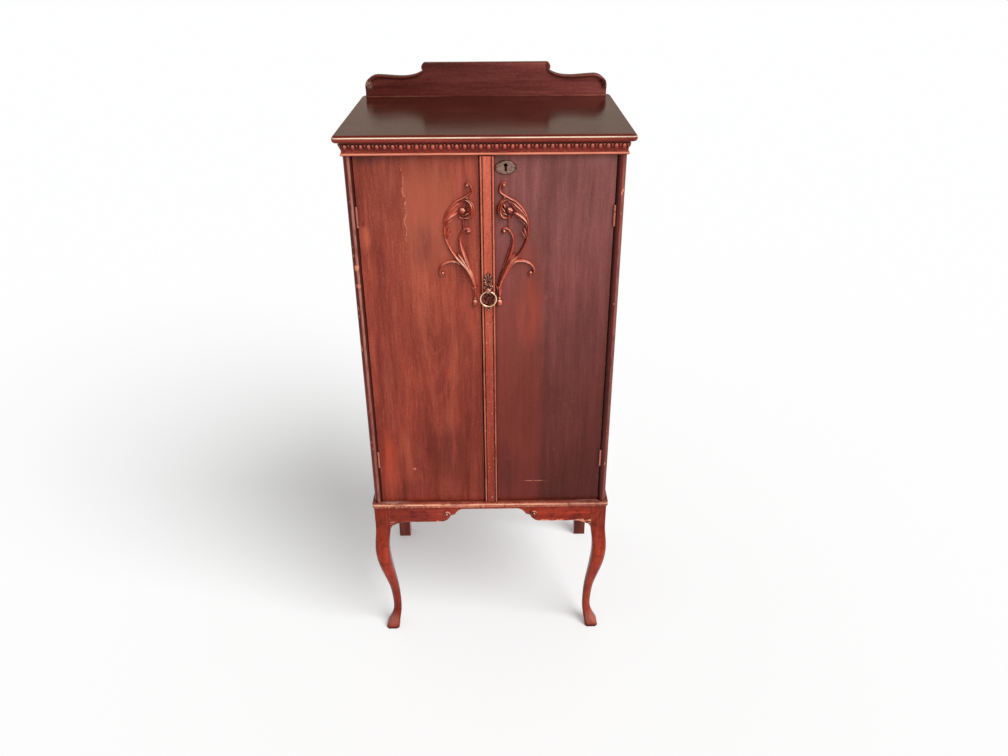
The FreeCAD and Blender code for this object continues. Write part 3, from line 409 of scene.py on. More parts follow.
# %% [markdown]
# ## Top and gallery
# The flat of the top is dark and shiny. Along the shoulder of its nosing runs a cream line, a painted
# highlight on partly worn wood, with a painted shadow line just above it. The gallery behind is maroon,
# painted lighter towards its right wing where the light falls and darker on its upward faces as painted
# shade, with dust and a painted sheen in its left curl and a darker right curl. Such marks could be
# painted on an image, but every board would first have to be unwrapped. Masks made from height, facing
# and noise need no unwrapping and stay where they are when a size changes.

# %% Top and gallery finishes
top_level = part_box("top_board")[1].z
gallery_low, gallery_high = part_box("gallery")
right_curl = (gallery_high.x - 6 * mm, gallery_low.y, gallery_low.z + 24 * mm)
left_curl = (-right_curl[0], right_curl[1], right_curl[2])


def nosing_marks(finish, colour):
    """A thin cream line along the upper shoulder, a painted highlight on partly worn wood, with a painted
    shadow line just over it and painted shade on the faces that look down.
    """
    # painted shadow: a dark line just over the shoulder, where the step of the top casts shade
    darkening = finish.height_band(top_level - 2.0 * mm, top_level - 0.6 * mm)
    colour = finish.blend(darkening, colour, tone(100, 32, 25))
    # painted shade on the faces of the nosing that look down
    under = finish.between(finish.facing("Z"), -0.1, -0.6, 0.0, 0.55)
    colour = finish.blend(under, colour, tone(104, 30, 22))
    # painted highlight: a cream line along the shoulder, on wood that is partly worn
    sheen_and_wear_line = finish.height_band(top_level - 4.1 * mm, top_level - 3.5 * mm)
    breaks = finish.spots(finish.stretched((0.12, 0.12, 1)), 110.0, 0.36, 0.56, 0.6, 1.0)
    forward = finish.between(finish.along("Y"), 0.185, -0.16, 0.15, 1.0)
    return finish.blend(finish.times(sheen_and_wear_line, breaks, forward), colour, tone(255, 236, 206))


def gallery_marks(finish, colour):
    """Painted lighter towards the right wing, where the light falls, with painted shade on the upward faces
    of the upper edge; dusty with a painted sheen in the left curl and darker in the right one.
    """
    # painted light: the board grows lighter and greyer towards the right wing, where the light falls
    share = finish.between(finish.along("X"), -0.25, 0.25)
    colour = finish.fade(colour, share, [
        (0.0, grey(1.0)), (0.5, (1.1, 1.18, 1.2, 1)), (1.0, (1.58, 1.8, 1.9, 1))])
    # painted shade: faces that look up are darkened against the light they catch
    colour = finish.blend(finish.between(finish.facing("Z"), 0.6, 0.9, 0.0, 0.7), colour, shade_and_old_polish)
    # dust with a painted sheen on the left curl
    dust_and_sheen = finish.spots(finish.place, 260.0, 0.4, 0.6)
    dust_and_sheen = finish.times(finish.near(left_curl, (0.011, 0.012, 0.013)), dust_and_sheen)
    colour = finish.blend(dust_and_sheen, colour, tone(186, 160, 140))
    darkening = finish.spots(finish.place, 320.0, 0.42, 0.56, 0.15, 0.85, detail=2.0)
    darkening = finish.times(finish.near(right_curl, (0.014, 0.012, 0.018)), darkening)
    return finish.blend(darkening, colour, shade_and_old_polish)


top_finish = wood("dark_top", tone(50, 18, 13), tone(66, 26, 19), tone(82, 35, 27), grain="X", gloss=0.16,
                  specular=0.4, worn=0.5)
nosing_finish = wood("top_nosing", tone(114, 42, 33), tone(152, 62, 49), tone(180, 84, 68), grain="X",
                     gloss=0.26, specular=0.12, worn=0.3, shade=nosing_marks)
gallery_finish = wood("maroon_gallery", tone(84, 34, 29), tone(112, 50, 43), tone(134, 68, 60), grain="X",
                      worn=0.35, shade_and_grime=0.35, bands=[(top_level, top_level + 0.6 * mm, 0.6)],
                      shade=gallery_marks)
print("the top lies at", round(top_level, 4), "m and the gallery rises to", round(gallery_high.z, 4))

# %% [markdown]
# ## Frieze
# The rail under the top is carved all along. Its high places, the bead at its foot and the upper fronts of
# the eggs, are painted pale: the bead as worn wood with a painted highlight, the eggs as painted
# highlights. The hollow behind them is painted dark, as shade in the recess and old polish. How far a point
# stands proud of the case could be baked into an image; here it is read straight from the place, which is
# sharper on forms this small.

# %% Frieze finishes
case_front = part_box("side_left")[0].y
frieze_low, frieze_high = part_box("frieze_front")
case_half = frieze_high.x - 4.0 * mm
bead_level = frieze_low.z
egg_level = bead_level + 15.4 * mm


def frieze_marks(finish, colour):
    """The bead at the foot is worn to bare wood and carries a painted highlight; the hollow behind the eggs
    is painted dark, as shade in the recess and old polish.
    """
    # painted shade in the hollow behind the eggs, with old polish
    hollow = finish.height_band(egg_level - 3 * mm, egg_level + 9 * mm)
    colour = finish.blend(finish.times(hollow, 0.6), colour, shade_and_old_polish)
    # worn bead with a painted highlight
    rub_and_highlight = finish.spots(finish.stretched((0.12, 0.12, 1)), 110.0, 0.3, 0.55, 0.55, 1.0)
    bead = finish.height_band(bead_level + 2.2 * mm, bead_level + 4.2 * mm)
    return finish.blend(finish.times(bead, rub_and_highlight), colour, tone(250, 154, 124))


def egg_marks(finish, colour):
    """Each egg's upper front gets a painted highlight; its downward faces, the low ground between the eggs
    and the band over them, in the shade of the nosing, get painted shade.
    """
    upward = finish.facing("Z")
    height = finish.along("Z")
    aside = finish.minus(finish.apart(finish.along("X")), case_half)
    proud = finish.larger(finish.minus(case_front, finish.along("Y")), aside)
    # painted shade on faces that look down, on the low ground between the eggs, and over the eggs where the
    # nosing shades them
    below = finish.between(upward, -0.45, -0.9, 0.0, 0.75)
    ground = finish.between(proud, 3.2 * mm, 1.2 * mm, 0.0, 0.75)
    above = finish.between(height, egg_level + 3.4 * mm, egg_level + 5.2 * mm, 0.0, 0.85)
    colour = finish.blend(finish.larger(finish.larger(below, ground), above), colour, shade_and_old_polish)
    # painted highlight on the upper front of each egg
    rub_and_highlight = finish.times(finish.between(upward, -0.25, 0.3), finish.between(proud, 4.3 * mm, 5.2 * mm),
                          finish.between(height, egg_level + 4.8 * mm, egg_level + 3.2 * mm))
    return finish.blend(rub_and_highlight, colour, tone(255, 166, 134))


frieze_finish = wood("hollow_frieze", tone(100, 30, 21), tone(140, 50, 37), tone(172, 76, 59), grain="X",
                     worn=0.8, shade_and_grime=0.7, shade_and_grime_reach=4 * mm, shade=frieze_marks)
egg_finish = wood("carved_eggs", tone(144, 40, 29), tone(192, 66, 50), tone(228, 98, 78), grain="X",
                  gloss=0.22, specular=0.4, worn=0.3, wear_radius=0.8 * mm, shade_and_grime=1.0, shade_and_grime_reach=3 * mm,
                  shade_and_grime_from=0.36, shade=egg_marks)
print("eggs sit at", round(egg_level, 4), "m")

# %% [markdown]
# ## Posts, base and apron
# These take the knocks. The round front edges of the sides carry a long painted highlight, painted shade
# in the flanks next to the doors and chips of bare wood; brooms and feet chip the base, and the apron's
# lower edge is broken down to bare wood, most on the right. Edge wear alone would spread the damage
# evenly, so each piece also gets marks of its own, in the places where this cabinet has them.

# %% Post finish
post_low, post_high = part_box("side_left")
post_middle = (post_low.x + post_high.x) / 2
post_knocks = [(0.872, 8 * mm), (0.837, 5 * mm)]


def post_marks(finish, colour):
    """The round front edges of the sides: painted shade in the flanks next to the doors, a long pale
    painted highlight along the round, and chips here and there."""
    sideways = finish.facing("X")
    crown = finish.between(finish.along("Y"), case_front + 7.0 * mm, case_front + 5.0 * mm)
    hand = finish.between(finish.along("X"), -1 * mm, 1 * mm, -1.0, 1.0)
    inward = finish.times(sideways, hand, -1.0)
    # painted shade in the part of the round that turns towards the door
    flank_shade = finish.times(crown, finish.between(inward, 0.3, 0.7, 0.0, 0.75))
    colour = finish.blend(flank_shade, colour, shade_and_old_polish)
    # painted highlight: a pale streaked band along the round, stronger higher up
    offset = finish.apart(sideways, finish.between(hand, -1.0, 1.0, 0.22, 0.44))
    streaks = finish.spots(finish.stretched((1, 1, 0.15)), 240.0, 0.32, 0.6, 0.35, 1.0, detail=4.0)
    upper = finish.between(finish.along("Z"), 0.45, 0.85, 0.36, 0.6)
    wear_and_highlight = finish.times(finish.between(offset, 0.42, 0.16), crown, streaks, upper)
    wear_and_highlight = finish.maths("MULTIPLY", wear_and_highlight, finish.between(hand, -1.0, 1.0, 1.5, 0.8), clamp=True)
    colour = finish.blend(wear_and_highlight, colour, tone(186, 122, 108))
    chips = finish.spots(finish.stretched((1, 1, 0.4)), 130.0, 0.65, 0.69)
    outer = finish.between(inward, 0.35, 0.1, 0.0, 0.8)
    colour = finish.blend(finish.times(crown, chips, outer), colour, bare_wood_and_highlight)
    ragged = finish.spots(finish.place, 300.0, 0.36, 0.5)
    for level, reach in post_knocks:
        knock = finish.near((post_middle, case_front, level), (6 * mm, 9 * mm, reach))
        colour = finish.blend(finish.times(knock, ragged), colour, tone(250, 156, 122))
    return colour


post_finish = wood("case_sides", tone(78, 26, 19), tone(106, 37, 29), tone(130, 53, 42), gloss=0.26,
                   worn=0.4, shade_and_grime=0.5, shade=post_marks)
print("knocks on the left post", len(post_knocks))

# %% Base finish
base_low, base_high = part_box("base_board")


def base_marks(finish, colour):
    """The flat of the base is darker, most towards the case, and dusty at its ends with a painted sheen.
    Feet and brooms have worn its front shoulder, which also carries a painted highlight, and chipped its
    edge down to bare wood; the faces that look down take painted shade."""
    outer = finish.between(finish.apart(finish.along("X")), 0.15, 0.21)
    colour = finish.blend(finish.times(outer, 0.3), colour, tone(112, 44, 33))
    level = finish.between(finish.facing("Z"), 0.8, 0.96)
    deep = finish.between(finish.along("Y"), base_low.y + 3 * mm, base_low.y + 12 * mm, 0.4, 0.85)
    colour = finish.blend(finish.times(level, deep), colour, tone(96, 36, 27))
    # dust with a painted sheen on the upward flat at the ends
    dust_and_sheen = finish.spots(finish.stretched((0.3, 1, 1)), 120.0, 0.42, 0.6, 0.0, 0.6)
    colour = finish.blend(finish.times(dust_and_sheen, outer, level), colour, tone(196, 150, 134))
    # worn shoulder with a painted highlight
    shoulder = finish.height_band(base_high.z - 3.0 * mm, base_high.z - 1.0 * mm)
    rub_and_highlight = finish.spots(finish.stretched((0.2, 1, 1)), 120.0, 0.34, 0.56, 0.4, 1.0)
    colour = finish.blend(finish.times(shoulder, rub_and_highlight), colour, tone(255, 186, 154))
    chips = finish.spots(finish.place, 240.0, 0.5, 0.62, detail=4.0, roughness=0.7)
    front = finish.between(finish.along("Y"), base_low.y + 6 * mm, base_low.y)
    colour = finish.blend(finish.times(chips, front, 0.6), colour, tone(240, 172, 142))
    stains = finish.spots(finish.place, 38.0, 0.52, 0.66, 0.0, 0.6)
    colour = finish.blend(stains, colour, tone(104, 36, 26))
    # painted shade on the faces that look down
    under = finish.between(finish.facing("Z"), -0.15, -0.6, 0.0, 0.8)
    colour = finish.blend(under, colour, tone(98, 32, 23))
    right_end = finish.between(finish.along("X"), 0.06, 0.18, 0.0, 0.4)
    return finish.blend(right_end, colour, tone(104, 44, 35))


base_finish = wood("rubbed_base", tone(124, 46, 34), tone(184, 90, 69), tone(232, 136, 107), grain="X",
                   gloss=0.34, worn=1.0, wear_radius=2.6 * mm, shade_and_grime=0.5, shade=base_marks)
print("the base is", round(base_high.x - base_low.x, 4), "m wide")

# %% Apron finish
apron_low, apron_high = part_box("apron_front")
apron_edge = apron_low.z + 8 * mm
chipped_spot = (-0.108, apron_low.y, apron_edge + 2 * mm)


def apron_marks(finish, colour):
    """The lower edge of the apron is knocked to bare wood, most on the right, and its face is smudged."""
    hand = finish.between(finish.along("X"), -0.02, 0.02)
    colour = finish.fade(colour, hand, [(0.0, grey(1.0)), (1.0, (1.16, 1.0, 0.84, 1))])
    smudge = finish.spots(finish.place, 70.0, 0.5, 0.66, 0.0, 0.6, detail=4.0, roughness=0.6)
    colour = finish.blend(smudge, colour, tone(84, 24, 17))
    seam = finish.between(finish.along("X"), apron_high.x - 2.4 * mm, apron_high.x - 0.6 * mm, 0.0, 0.75)
    colour = finish.blend(seam, colour, shade_and_old_polish)
    chips = finish.spots(finish.stretched((0.4, 1, 1)), 140.0, 0.46, 0.54)
    edge = finish.between(finish.along("Z"), apron_edge + 4.6 * mm, apron_edge + 2.4 * mm)
    forward = finish.between(finish.facing("Y"), -0.5, -0.8, 0.2, 1.0)
    spot = finish.near(chipped_spot, (0.016, 0.012, 0.006))
    where = finish.larger(finish.between(hand, 0.0, 1.0, 0.1, 1.0), spot)
    return finish.blend(finish.times(chips, forward, edge, where), colour, tone(244, 158, 124))


apron_finish = wood("red_apron", tone(112, 34, 23), tone(150, 50, 34), tone(184, 74, 51), grain="X",
                    worn=0.9, wear_radius=3.6 * mm, shade_and_grime=0.5, shade=apron_marks)
print("the apron's ears reach down to", round(apron_low.z, 4), "m")

# %% [markdown]
# ## Legs
# The front legs are a clear red at the knee, darker at the block and the foot, with painted shade down
# their flanks and dust with a painted sheen where the foot spreads. The rear legs are plain and painted
# darker for the shade under the cabinet, the right one more than the left. One ramp over the height gives
# the change that three separate finishes would otherwise have to meet in.

# %% Leg finishes
leg_top = 0.34


def leg_marks(finish, colour):
    """Darker at the block and the foot than at the knee, with painted shade down the flanks and a dusty,
    painted sheen on the top of the foot.
    """
    share = finish.between(finish.along("Z"), 0.0, leg_top)
    colour = finish.fade(colour, share, [
        (0.0, (0.78, 0.74, 0.72, 1)), (0.35, grey(1.0)), (0.7, (1.06, 1.0, 0.96, 1)),
        (0.92, (0.79, 0.81, 0.84, 1))])
    smudge = finish.spots(finish.place, 60.0, 0.5, 0.68, 0.0, 0.45, detail=4.0, roughness=0.6)
    colour = finish.blend(smudge, colour, tone(88, 28, 20))
    # painted shade down the flanks that face sideways
    flank_shade = finish.between(finish.apart(finish.facing("X")), 0.6, 0.95, 0.0, 0.45)
    colour = finish.blend(flank_shade, colour, shade_and_old_polish)
    sole = finish.between(finish.along("Z"), 7 * mm, 3 * mm, 0.0, 0.7)
    colour = finish.blend(sole, colour, shade_and_old_polish)
    # dust with a painted sheen on the upward faces of the foot
    low = finish.between(finish.along("Z"), 0.05, 0.028)
    dust_and_sheen = finish.times(low, finish.between(finish.facing("Z"), 0.1, 0.7, 0.0, 0.3))
    return finish.blend(dust_and_sheen, colour, tone(206, 150, 136))


def rear_leg_marks(finish, colour):
    """Painted light and shade: the left rear leg is made lighter and the right one darker, for the shade
    under the cabinet.
    """
    share = finish.between(finish.along("X"), -0.05, 0.05)
    return finish.fade(colour, share, [(0.0, grey(1.6)), (1.0, grey(0.9))])


leg_finish = wood("red_legs", tone(122, 34, 21), tone(162, 54, 34), tone(192, 78, 52), gloss=0.28,
                  specular=0.11, worn=0.4, shade_and_grime=0.4, shade=leg_marks)
# painted shade: the rear legs and the back apron are set darker than the front legs for the shade they stand
# in
rear_leg_finish = wood("dark_rear_legs", tone(76, 22, 16), tone(106, 36, 26), tone(132, 52, 38), gloss=0.32,
                       worn=0.3, shade_and_grime=0.3, shade=rear_leg_marks)
print("leg finishes", leg_finish.name, rear_leg_finish.name)

# %% [markdown]
# ## Cover strip and carving
# The moulded strip over the meeting edge is the palest wood on the front, handled with every opening,
# with painted shade and old polish in its two grooves and worn beads that carry a painted highlight. The
# carving gets a painted highlight on the crests that face the light and painted shade on its low places,
# undersides and the flanks away from the light. A bevel node sees only edges, so here the height above
# the door and the way a face looks decide where these marks go.

# %% Strip and carving finishes
strip_low, strip_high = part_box("astragal")
strip_middle = (strip_low.x + strip_high.x) / 2
door_low, door_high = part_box("door_left")
bracket_set_back = 5 * mm


def strip_marks(finish, colour):
    """The strip is darker below the ring, its two grooves are painted dark with shade and old polish, its
    beads are worn and carry a painted highlight, and its flat is dented and specked."""
    share = finish.between(finish.along("Z"), 0.36, 1.07)
    colour = finish.fade(colour, share, [
        (0.0, (0.57, 0.43, 0.41, 1)), (0.4, (0.64, 0.5, 0.47, 1)), (0.7, grey(0.98)), (1.0, grey(1.03))])
    offset = finish.apart(finish.along("X"), strip_middle)
    # painted shade and old polish in the two grooves
    groove = finish.window(offset, 6.4 * mm, 7.0 * mm, 8.3 * mm, 9.0 * mm)
    colour = finish.blend(finish.times(groove, 0.75), colour, shade_and_old_polish)
    bead = finish.window(offset, 9.2 * mm, 10.0 * mm, 10.8 * mm, 11.6 * mm)
    # worn beads with a painted highlight
    rub_and_highlight = finish.spots(finish.stretched((1, 1, 0.2)), 90.0, 0.35, 0.6, 0.0, 0.6)
    colour = finish.blend(finish.times(bead, rub_and_highlight), colour, bare_wood_and_highlight)
    dents = finish.spots(finish.place, 210.0, 0.64, 0.7, 0.0, 0.55, detail=2.0)
    colour = finish.blend(dents, colour, tone(116, 40, 29))
    specks = finish.spots(finish.stretched((1, 1, 0.6)), 380.0, 0.67, 0.72, 0.0, 0.7, detail=2.0)
    return finish.blend(specks, colour, tone(246, 176, 146))


def carving_marks(front):
    """Marks for carving on a face: high places that face the light get a painted highlight; low ones,
    undersides and the flanks away from the light get painted shade."""
    def marks(finish, colour):
        height = finish.minus(front, finish.along("Y"))
        sideways = finish.facing("X")
        upward = finish.plus(finish.times(finish.facing("Z"), 0.85), finish.times(sideways, 0.25))
        # painted shade on low places, on undersides and on the flanks away from the light
        low = finish.between(height, 1.3 * mm, 0.0, 0.0, 0.8)
        under = finish.between(upward, -0.15, -0.7, 0.0, 0.75)
        away = finish.times(finish.between(sideways, -0.25, -0.75),
                            finish.between(finish.along("X"), -5 * mm, 5 * mm, 0.35, 0.8))
        colour = finish.blend(finish.larger(finish.larger(low, under), away), colour, shade_and_old_polish)
        # painted highlight on high places that face the light
        crest_highlight = finish.times(finish.between(height, 2.2 * mm, 5.0 * mm), finish.between(upward, 0.12, 0.62))
        rub_and_highlight = finish.spots(finish.place, 150.0, 0.25, 0.6, 0.36, 0.9)
        return finish.blend(finish.times(crest_highlight, rub_and_highlight), colour, tone(254, 186, 160))
    return marks


strip_finish = wood("rubbed_strip", tone(166, 68, 50), tone(204, 94, 71), tone(232, 122, 97), shade_and_grime=0.7,
                    shade_and_grime_reach=3 * mm, shade=strip_marks)
carving_finish = wood("carved_scroll", tone(132, 43, 30), tone(186, 73, 53), tone(220, 104, 79), gloss=0.24,
                      specular=0.4, worn=0.0, shade_and_grime=0.75, shade_and_grime_reach=2.4 * mm, shade_and_grime_from=0.45,
                      shade=carving_marks(door_low.y))
bracket_finish = wood("carved_bracket", tone(96, 34, 26), tone(132, 56, 44), tone(170, 88, 70),
                      gloss=0.26, specular=0.4, worn=0.0, shade_and_grime=0.9,
                      shade_and_grime_reach=3 * mm, shade_and_grime_from=0.3,
                      shade=carving_marks(apron_low.y + bracket_set_back))
apron_carving_finish = wood("carved_apron", tone(120, 42, 30), tone(160, 64, 46), tone(196, 92, 68),
                            gloss=0.26, specular=0.4, worn=0.0, shade_and_grime=0.9,
                            shade_and_grime_reach=3 * mm, shade_and_grime_from=0.3,
                            shade=carving_marks(apron_low.y))
print("the strip's middle is", round(strip_middle / mm, 2), "mm from the cabinet's")

# %% [markdown]
# ## The two doors
# The doors came from different flitches and differ in colour. The left one is orange red with pale
# streaks, a long scratch and a bruise by the upper hinge; the right one is purple brown, with a painted
# reflection haze over its upper part, and nearly black below. Each gets its own change of colour with
# height, with painted shade at the head under the frieze, and its own marks, placed in the cabinet's own
# coordinates.

# %% Door marks
scratch_pale = tone(222, 140, 112)


def tint_by_height(finish, colour, stops):
    """Multiply the colour by shades given from the foot of the door to its head."""
    return finish.fade(colour, finish.between(finish.along("Z"), door_low.z, door_high.z), stops)


def clouded(finish, colour, low, high):
    """Broad soft clouds, drawn out along the grain, between two strengths of the colour."""
    clouds = finish.noise(finish.stretched((1, 1, 0.3)), 17.0, 4.0, 0.6)
    return finish.fade(colour, clouds, [(0.34, grey(low)), (0.64, grey(high))])


def wander(finish, scale, detail):
    """A slow drift of up to 10 mm either way."""
    return finish.times(finish.minus(finish.noise(finish.place, scale, detail), 0.5), 20 * mm)


def nested_arches(finish, middle, steepness):
    """The figure of a flat-sawn board: arches one inside another, here with their points down."""
    across = finish.plus(finish.minus(finish.along("X"), middle), wander(finish, 28.0, 3.0))
    level = finish.minus(finish.along("Z"), finish.times(across, across, steepness))
    inputs = {"W": level, "Scale": 26.0, "Detail": 4.0, "Roughness": 0.6}
    return finish.add("ShaderNodeTexNoise", inputs, noise_dimensions="1D").outputs["Fac"]


def stained(finish, colour, stains):
    """Blend in soft patches, each given by its middle and reach (both across and up), tint and strength."""
    streaks = finish.spots(finish.stretched((1, 1, 0.1)), 70.0, 0.36, 0.62, 0.25, 1.0)
    for middle, reach, tint, strength in stains:
        patch = finish.near((middle[0], door_low.y, middle[1]), (reach[0], 12 * mm, reach[1]))
        colour = finish.blend(finish.times(patch, streaks, strength), colour, tint)
    return colour


def fine_scratches(finish, colour, density):
    """Thin pale lines along the grain, in patches, and a scatter of small specks."""
    lines = finish.spots(finish.stretched((1, 1, 0.05)), 900.0, 0.68, 0.74, detail=1.0, roughness=0.4)
    patch = finish.spots(finish.place, 14.0, 0.56, 0.66, detail=2.0)
    specks = finish.spots(finish.place, 420.0, 0.8, 0.83, detail=1.0, roughness=0.3)
    marks = finish.larger(finish.times(lines, patch), specks)
    return finish.blend(finish.times(marks, density), colour, scratch_pale)


print("the doors stand from", round(door_low.z, 4), "to", round(door_high.z, 4), "m")

# %% Left door finish
left_stains = [
    # the first entry is painted shadow under the frieze, greyed like a reflected haze
    ((-0.200, 1.068), (0.075, 0.020), tone(84, 50, 42), 0.75),
    ((-0.034, 1.040), (0.034, 0.090), tone(192, 92, 74), 0.85),
    ((-0.038, 0.790), (0.028, 0.080), tone(184, 84, 66), 0.5),
    ((-0.166, 1.042), (0.026, 0.065), tone(192, 98, 78), 0.55),
    ((-0.083, 0.790), (0.026, 0.080), tone(192, 88, 66), 0.55),
    ((-0.182, 0.645), (0.036, 0.085), tone(116, 48, 36), 0.4),
    ((-0.114, 0.912), (0.030, 0.060), tone(110, 54, 46), 0.55),
    ((-0.075, 0.470), (0.060, 0.110), tone(98, 38, 30), 0.6),
    ((-0.216, 0.926), (0.014, 0.036), tone(214, 108, 78), 0.8),
    ((-0.2155, 0.951), (0.005, 0.009), tone(70, 22, 16), 0.9),
    ((-0.204, 0.445), (0.030, 0.110), tone(200, 76, 50), 0.62),
    ((-0.167, 0.470), (0.022, 0.085), tone(190, 88, 66), 0.6),
    ((-0.1525, 0.4345), (0.0042, 0.0042), tone(240, 160, 130), 1.0)]
scratch_across = -0.141


def left_door_marks(finish, colour):
    """Pale arches in the middle, a sheen to the right of a long wandering scratch, and stains; painted shade
    at the head under the frieze.
    """
    # darker and less red towards the foot, lighter above the middle, and painted shade at the head, under
    # the frieze
    colour = tint_by_height(finish, colour, [
        (0.0, (0.8, 0.62, 0.58, 1)), (0.35, (0.98, 0.85, 0.82, 1)), (0.8, grey(1.2)), (1.0, grey(0.9))])
    arches = finish.between(nested_arches(finish, -0.098, 135.0), 0.5, 0.62)
    arch_zone = finish.near((-0.1, door_low.y, 0.72), (0.095, 0.05, 0.28))
    colour = finish.blend(finish.times(arches, arch_zone, 0.16), colour, tone(196, 98, 70))
    colour = clouded(finish, colour, 0.84, 1.1)
    across = finish.plus(finish.along("X"), wander(finish, 40.0, 2.0))
    sheen = finish.times(finish.near((-0.105, door_low.y, 0.965), (0.085, 0.05, 0.15)),
                         finish.between(across, scratch_across - 2 * mm, scratch_across + 2 * mm, 0.35, 1.0))
    colour = finish.blend(finish.times(sheen, 0.6), colour, tone(200, 104, 80))
    line = finish.between(finish.apart(across, scratch_across), 1.5 * mm, 0.2 * mm)
    stretch = finish.near((scratch_across, door_low.y, 0.975), (0.05, 0.05, 0.115))
    outer_face = finish.between(finish.along("Y"), door_low.y + 6 * mm, door_low.y + 5 * mm)
    broken = finish.spots(finish.place, 160.0, 0.4, 0.58, 0.0, 0.8)
    colour = finish.blend(finish.times(line, stretch, outer_face, broken), colour, scratch_pale)
    colour = stained(finish, colour, left_stains)
    return fine_scratches(finish, colour, 0.6)


left_door_finish = wood("left_door", tone(118, 46, 35), tone(150, 66, 50), tone(182, 92, 72), worn=0.3,
                        shade_and_grime=0.6, shade_and_grime_reach=8 * mm, shade_and_grime_from=0.2, shade=left_door_marks)
print("stains on the left door", len(left_stains))

# %% Right door finish
right_stains = [
    ((0.128, 1.018), (0.040, 0.050), tone(98, 54, 51), 0.5),
    ((0.078, 0.785), (0.034, 0.105), tone(174, 76, 56), 0.6),
    ((0.062, 0.890), (0.040, 0.050), tone(160, 76, 62), 0.6),
    # the next three entries, grey patches along the head, are painted shade and a painted reflection under
    # the frieze
    ((0.224, 1.064), (0.014, 0.036), tone(66, 60, 46), 0.85),
    ((0.026, 1.064), (0.012, 0.012), tone(86, 76, 62), 0.6),
    ((0.188, 1.066), (0.044, 0.024), tone(160, 104, 100), 0.55),
    ((0.038, 0.430), (0.036, 0.095), tone(62, 24, 19), 0.45),
    ((0.090, 0.4025), (0.036, 0.0014), tone(206, 124, 104), 1.0)]
warm_until = 0.100


def right_door_marks(finish, colour):
    """Purple brown with a painted reflection haze over the upper part and nearly black at the foot, a warm
    patch beside the strip, and stains, of which the grey ones at the head are painted shade and reflection.
    """
    # painted reflection: the upper part is lightened and greyed like a haze on the varnish; the foot is
    # darker
    colour = tint_by_height(finish, colour, [
        (0.0, (0.52, 0.34, 0.3, 1)), (0.3, (0.76, 0.57, 0.52, 1)), (0.75, (1.2, 1.17, 1.18, 1)),
        (1.0, (1.4, 1.6, 1.66, 1))])
    beside = finish.between(finish.along("X"), warm_until + 12 * mm, warm_until - 12 * mm)
    warm = finish.times(beside, finish.between(finish.along("Z"), 0.96, 0.76), 0.4)
    colour = finish.blend(warm, colour, tone(146, 58, 44))
    colour = clouded(finish, colour, 0.88, 1.08)
    colour = stained(finish, colour, right_stains)
    return fine_scratches(finish, colour, 0.4)


# painted shade: strong ambient-occlusion darkening outlines the carving and the strip on this door
right_door_finish = wood("right_door", tone(104, 54, 50), tone(122, 66, 61), tone(140, 80, 74), worn=0.3,
                         shade_and_grime=1.5, shade_and_grime_reach=7 * mm, shade_and_grime_from=0.14, shade=right_door_marks)
print("stains on the right door", len(right_stains))

# %% [markdown]
# ## The metals
# Brass goes brown where nobody touches it and stays bright where fingers rub. The ring is bright, the cast
# plate behind it nearly black in its hollows, the hinges stained along with the wood. Two colours mixed by
# a cloudy noise, with the darker one kept in the hollows, give all of these from one function.


# %% Metal finishes
def metal(name, bright, tarnish, share, gloss, hollow=0.0):
    """Metal of two colours: share of tarnish over all, and more of it in hollows."""
    finish = Finish(name)
    clear_until = 0.75 - share * 0.6
    cover = finish.spots(finish.place, 260.0, clear_until, clear_until + 0.25, detail=5.0, roughness=0.6)
    if hollow:
        cover = finish.larger(cover, finish.between(finish.hidden(2.5 * mm), 0.2, 0.7, 0.0, hollow))
    finish.join("Base Color", finish.blend(cover, bright, tarnish))
    finish.join("Roughness", finish.plus(finish.times(cover, 0.28), gloss))
    finish.bump(finish.noise(finish.place, 1400.0), 0.03 * mm, 0.3)
    finish.set(Metallic=1.0)
    return finish.material


ring_finish = metal("rubbed_brass", tone(250, 214, 178), tone(190, 134, 102), 0.3, 0.3)
plate_finish = metal("brown_brass", tone(184, 134, 120), tone(80, 43, 37), 0.4, 0.34, 0.95)
dish_finish = metal("black_brass", tone(134, 78, 68), tone(58, 25, 21), 0.6, 0.42, 0.85)
escutcheon_finish = metal("grey_brass", tone(156, 128, 116), tone(108, 84, 75), 0.45, 0.42, 0.6)
hinge_finish = metal("stained_hinge", tone(196, 122, 106), tone(128, 68, 58), 0.35, 0.42, 0.35)
lock_finish = metal("black_iron", tone(64, 50, 44), tone(26, 14, 12), 0.6, 0.5, 0.6)
steel_finish = metal("old_steel", tone(178, 172, 164), tone(104, 96, 88), 0.4, 0.3, 0.4)
print("metal finishes ready")

# %% [markdown]
# ## Giving the boards their finish
# A packed board is a heap of loose triangles, right in shape but faceted in the light. A merged copy with
# smooth shading between nearly level faces reads as planed and sanded wood. Nothing is moved: the copy
# stands for the node it was taken from.

# %% Finish of each node
finish_of_slot = {"plain_wood": inner_finish, "hinge_metal": hinge_finish, "steel": steel_finish,
                  "aged_brass": plate_finish, "bright_brass": ring_finish, "carved_mahogany": strip_finish}
finish_of = {node: finish_of_slot.get(slot, post_finish) for node, slot in slot_of.items()}
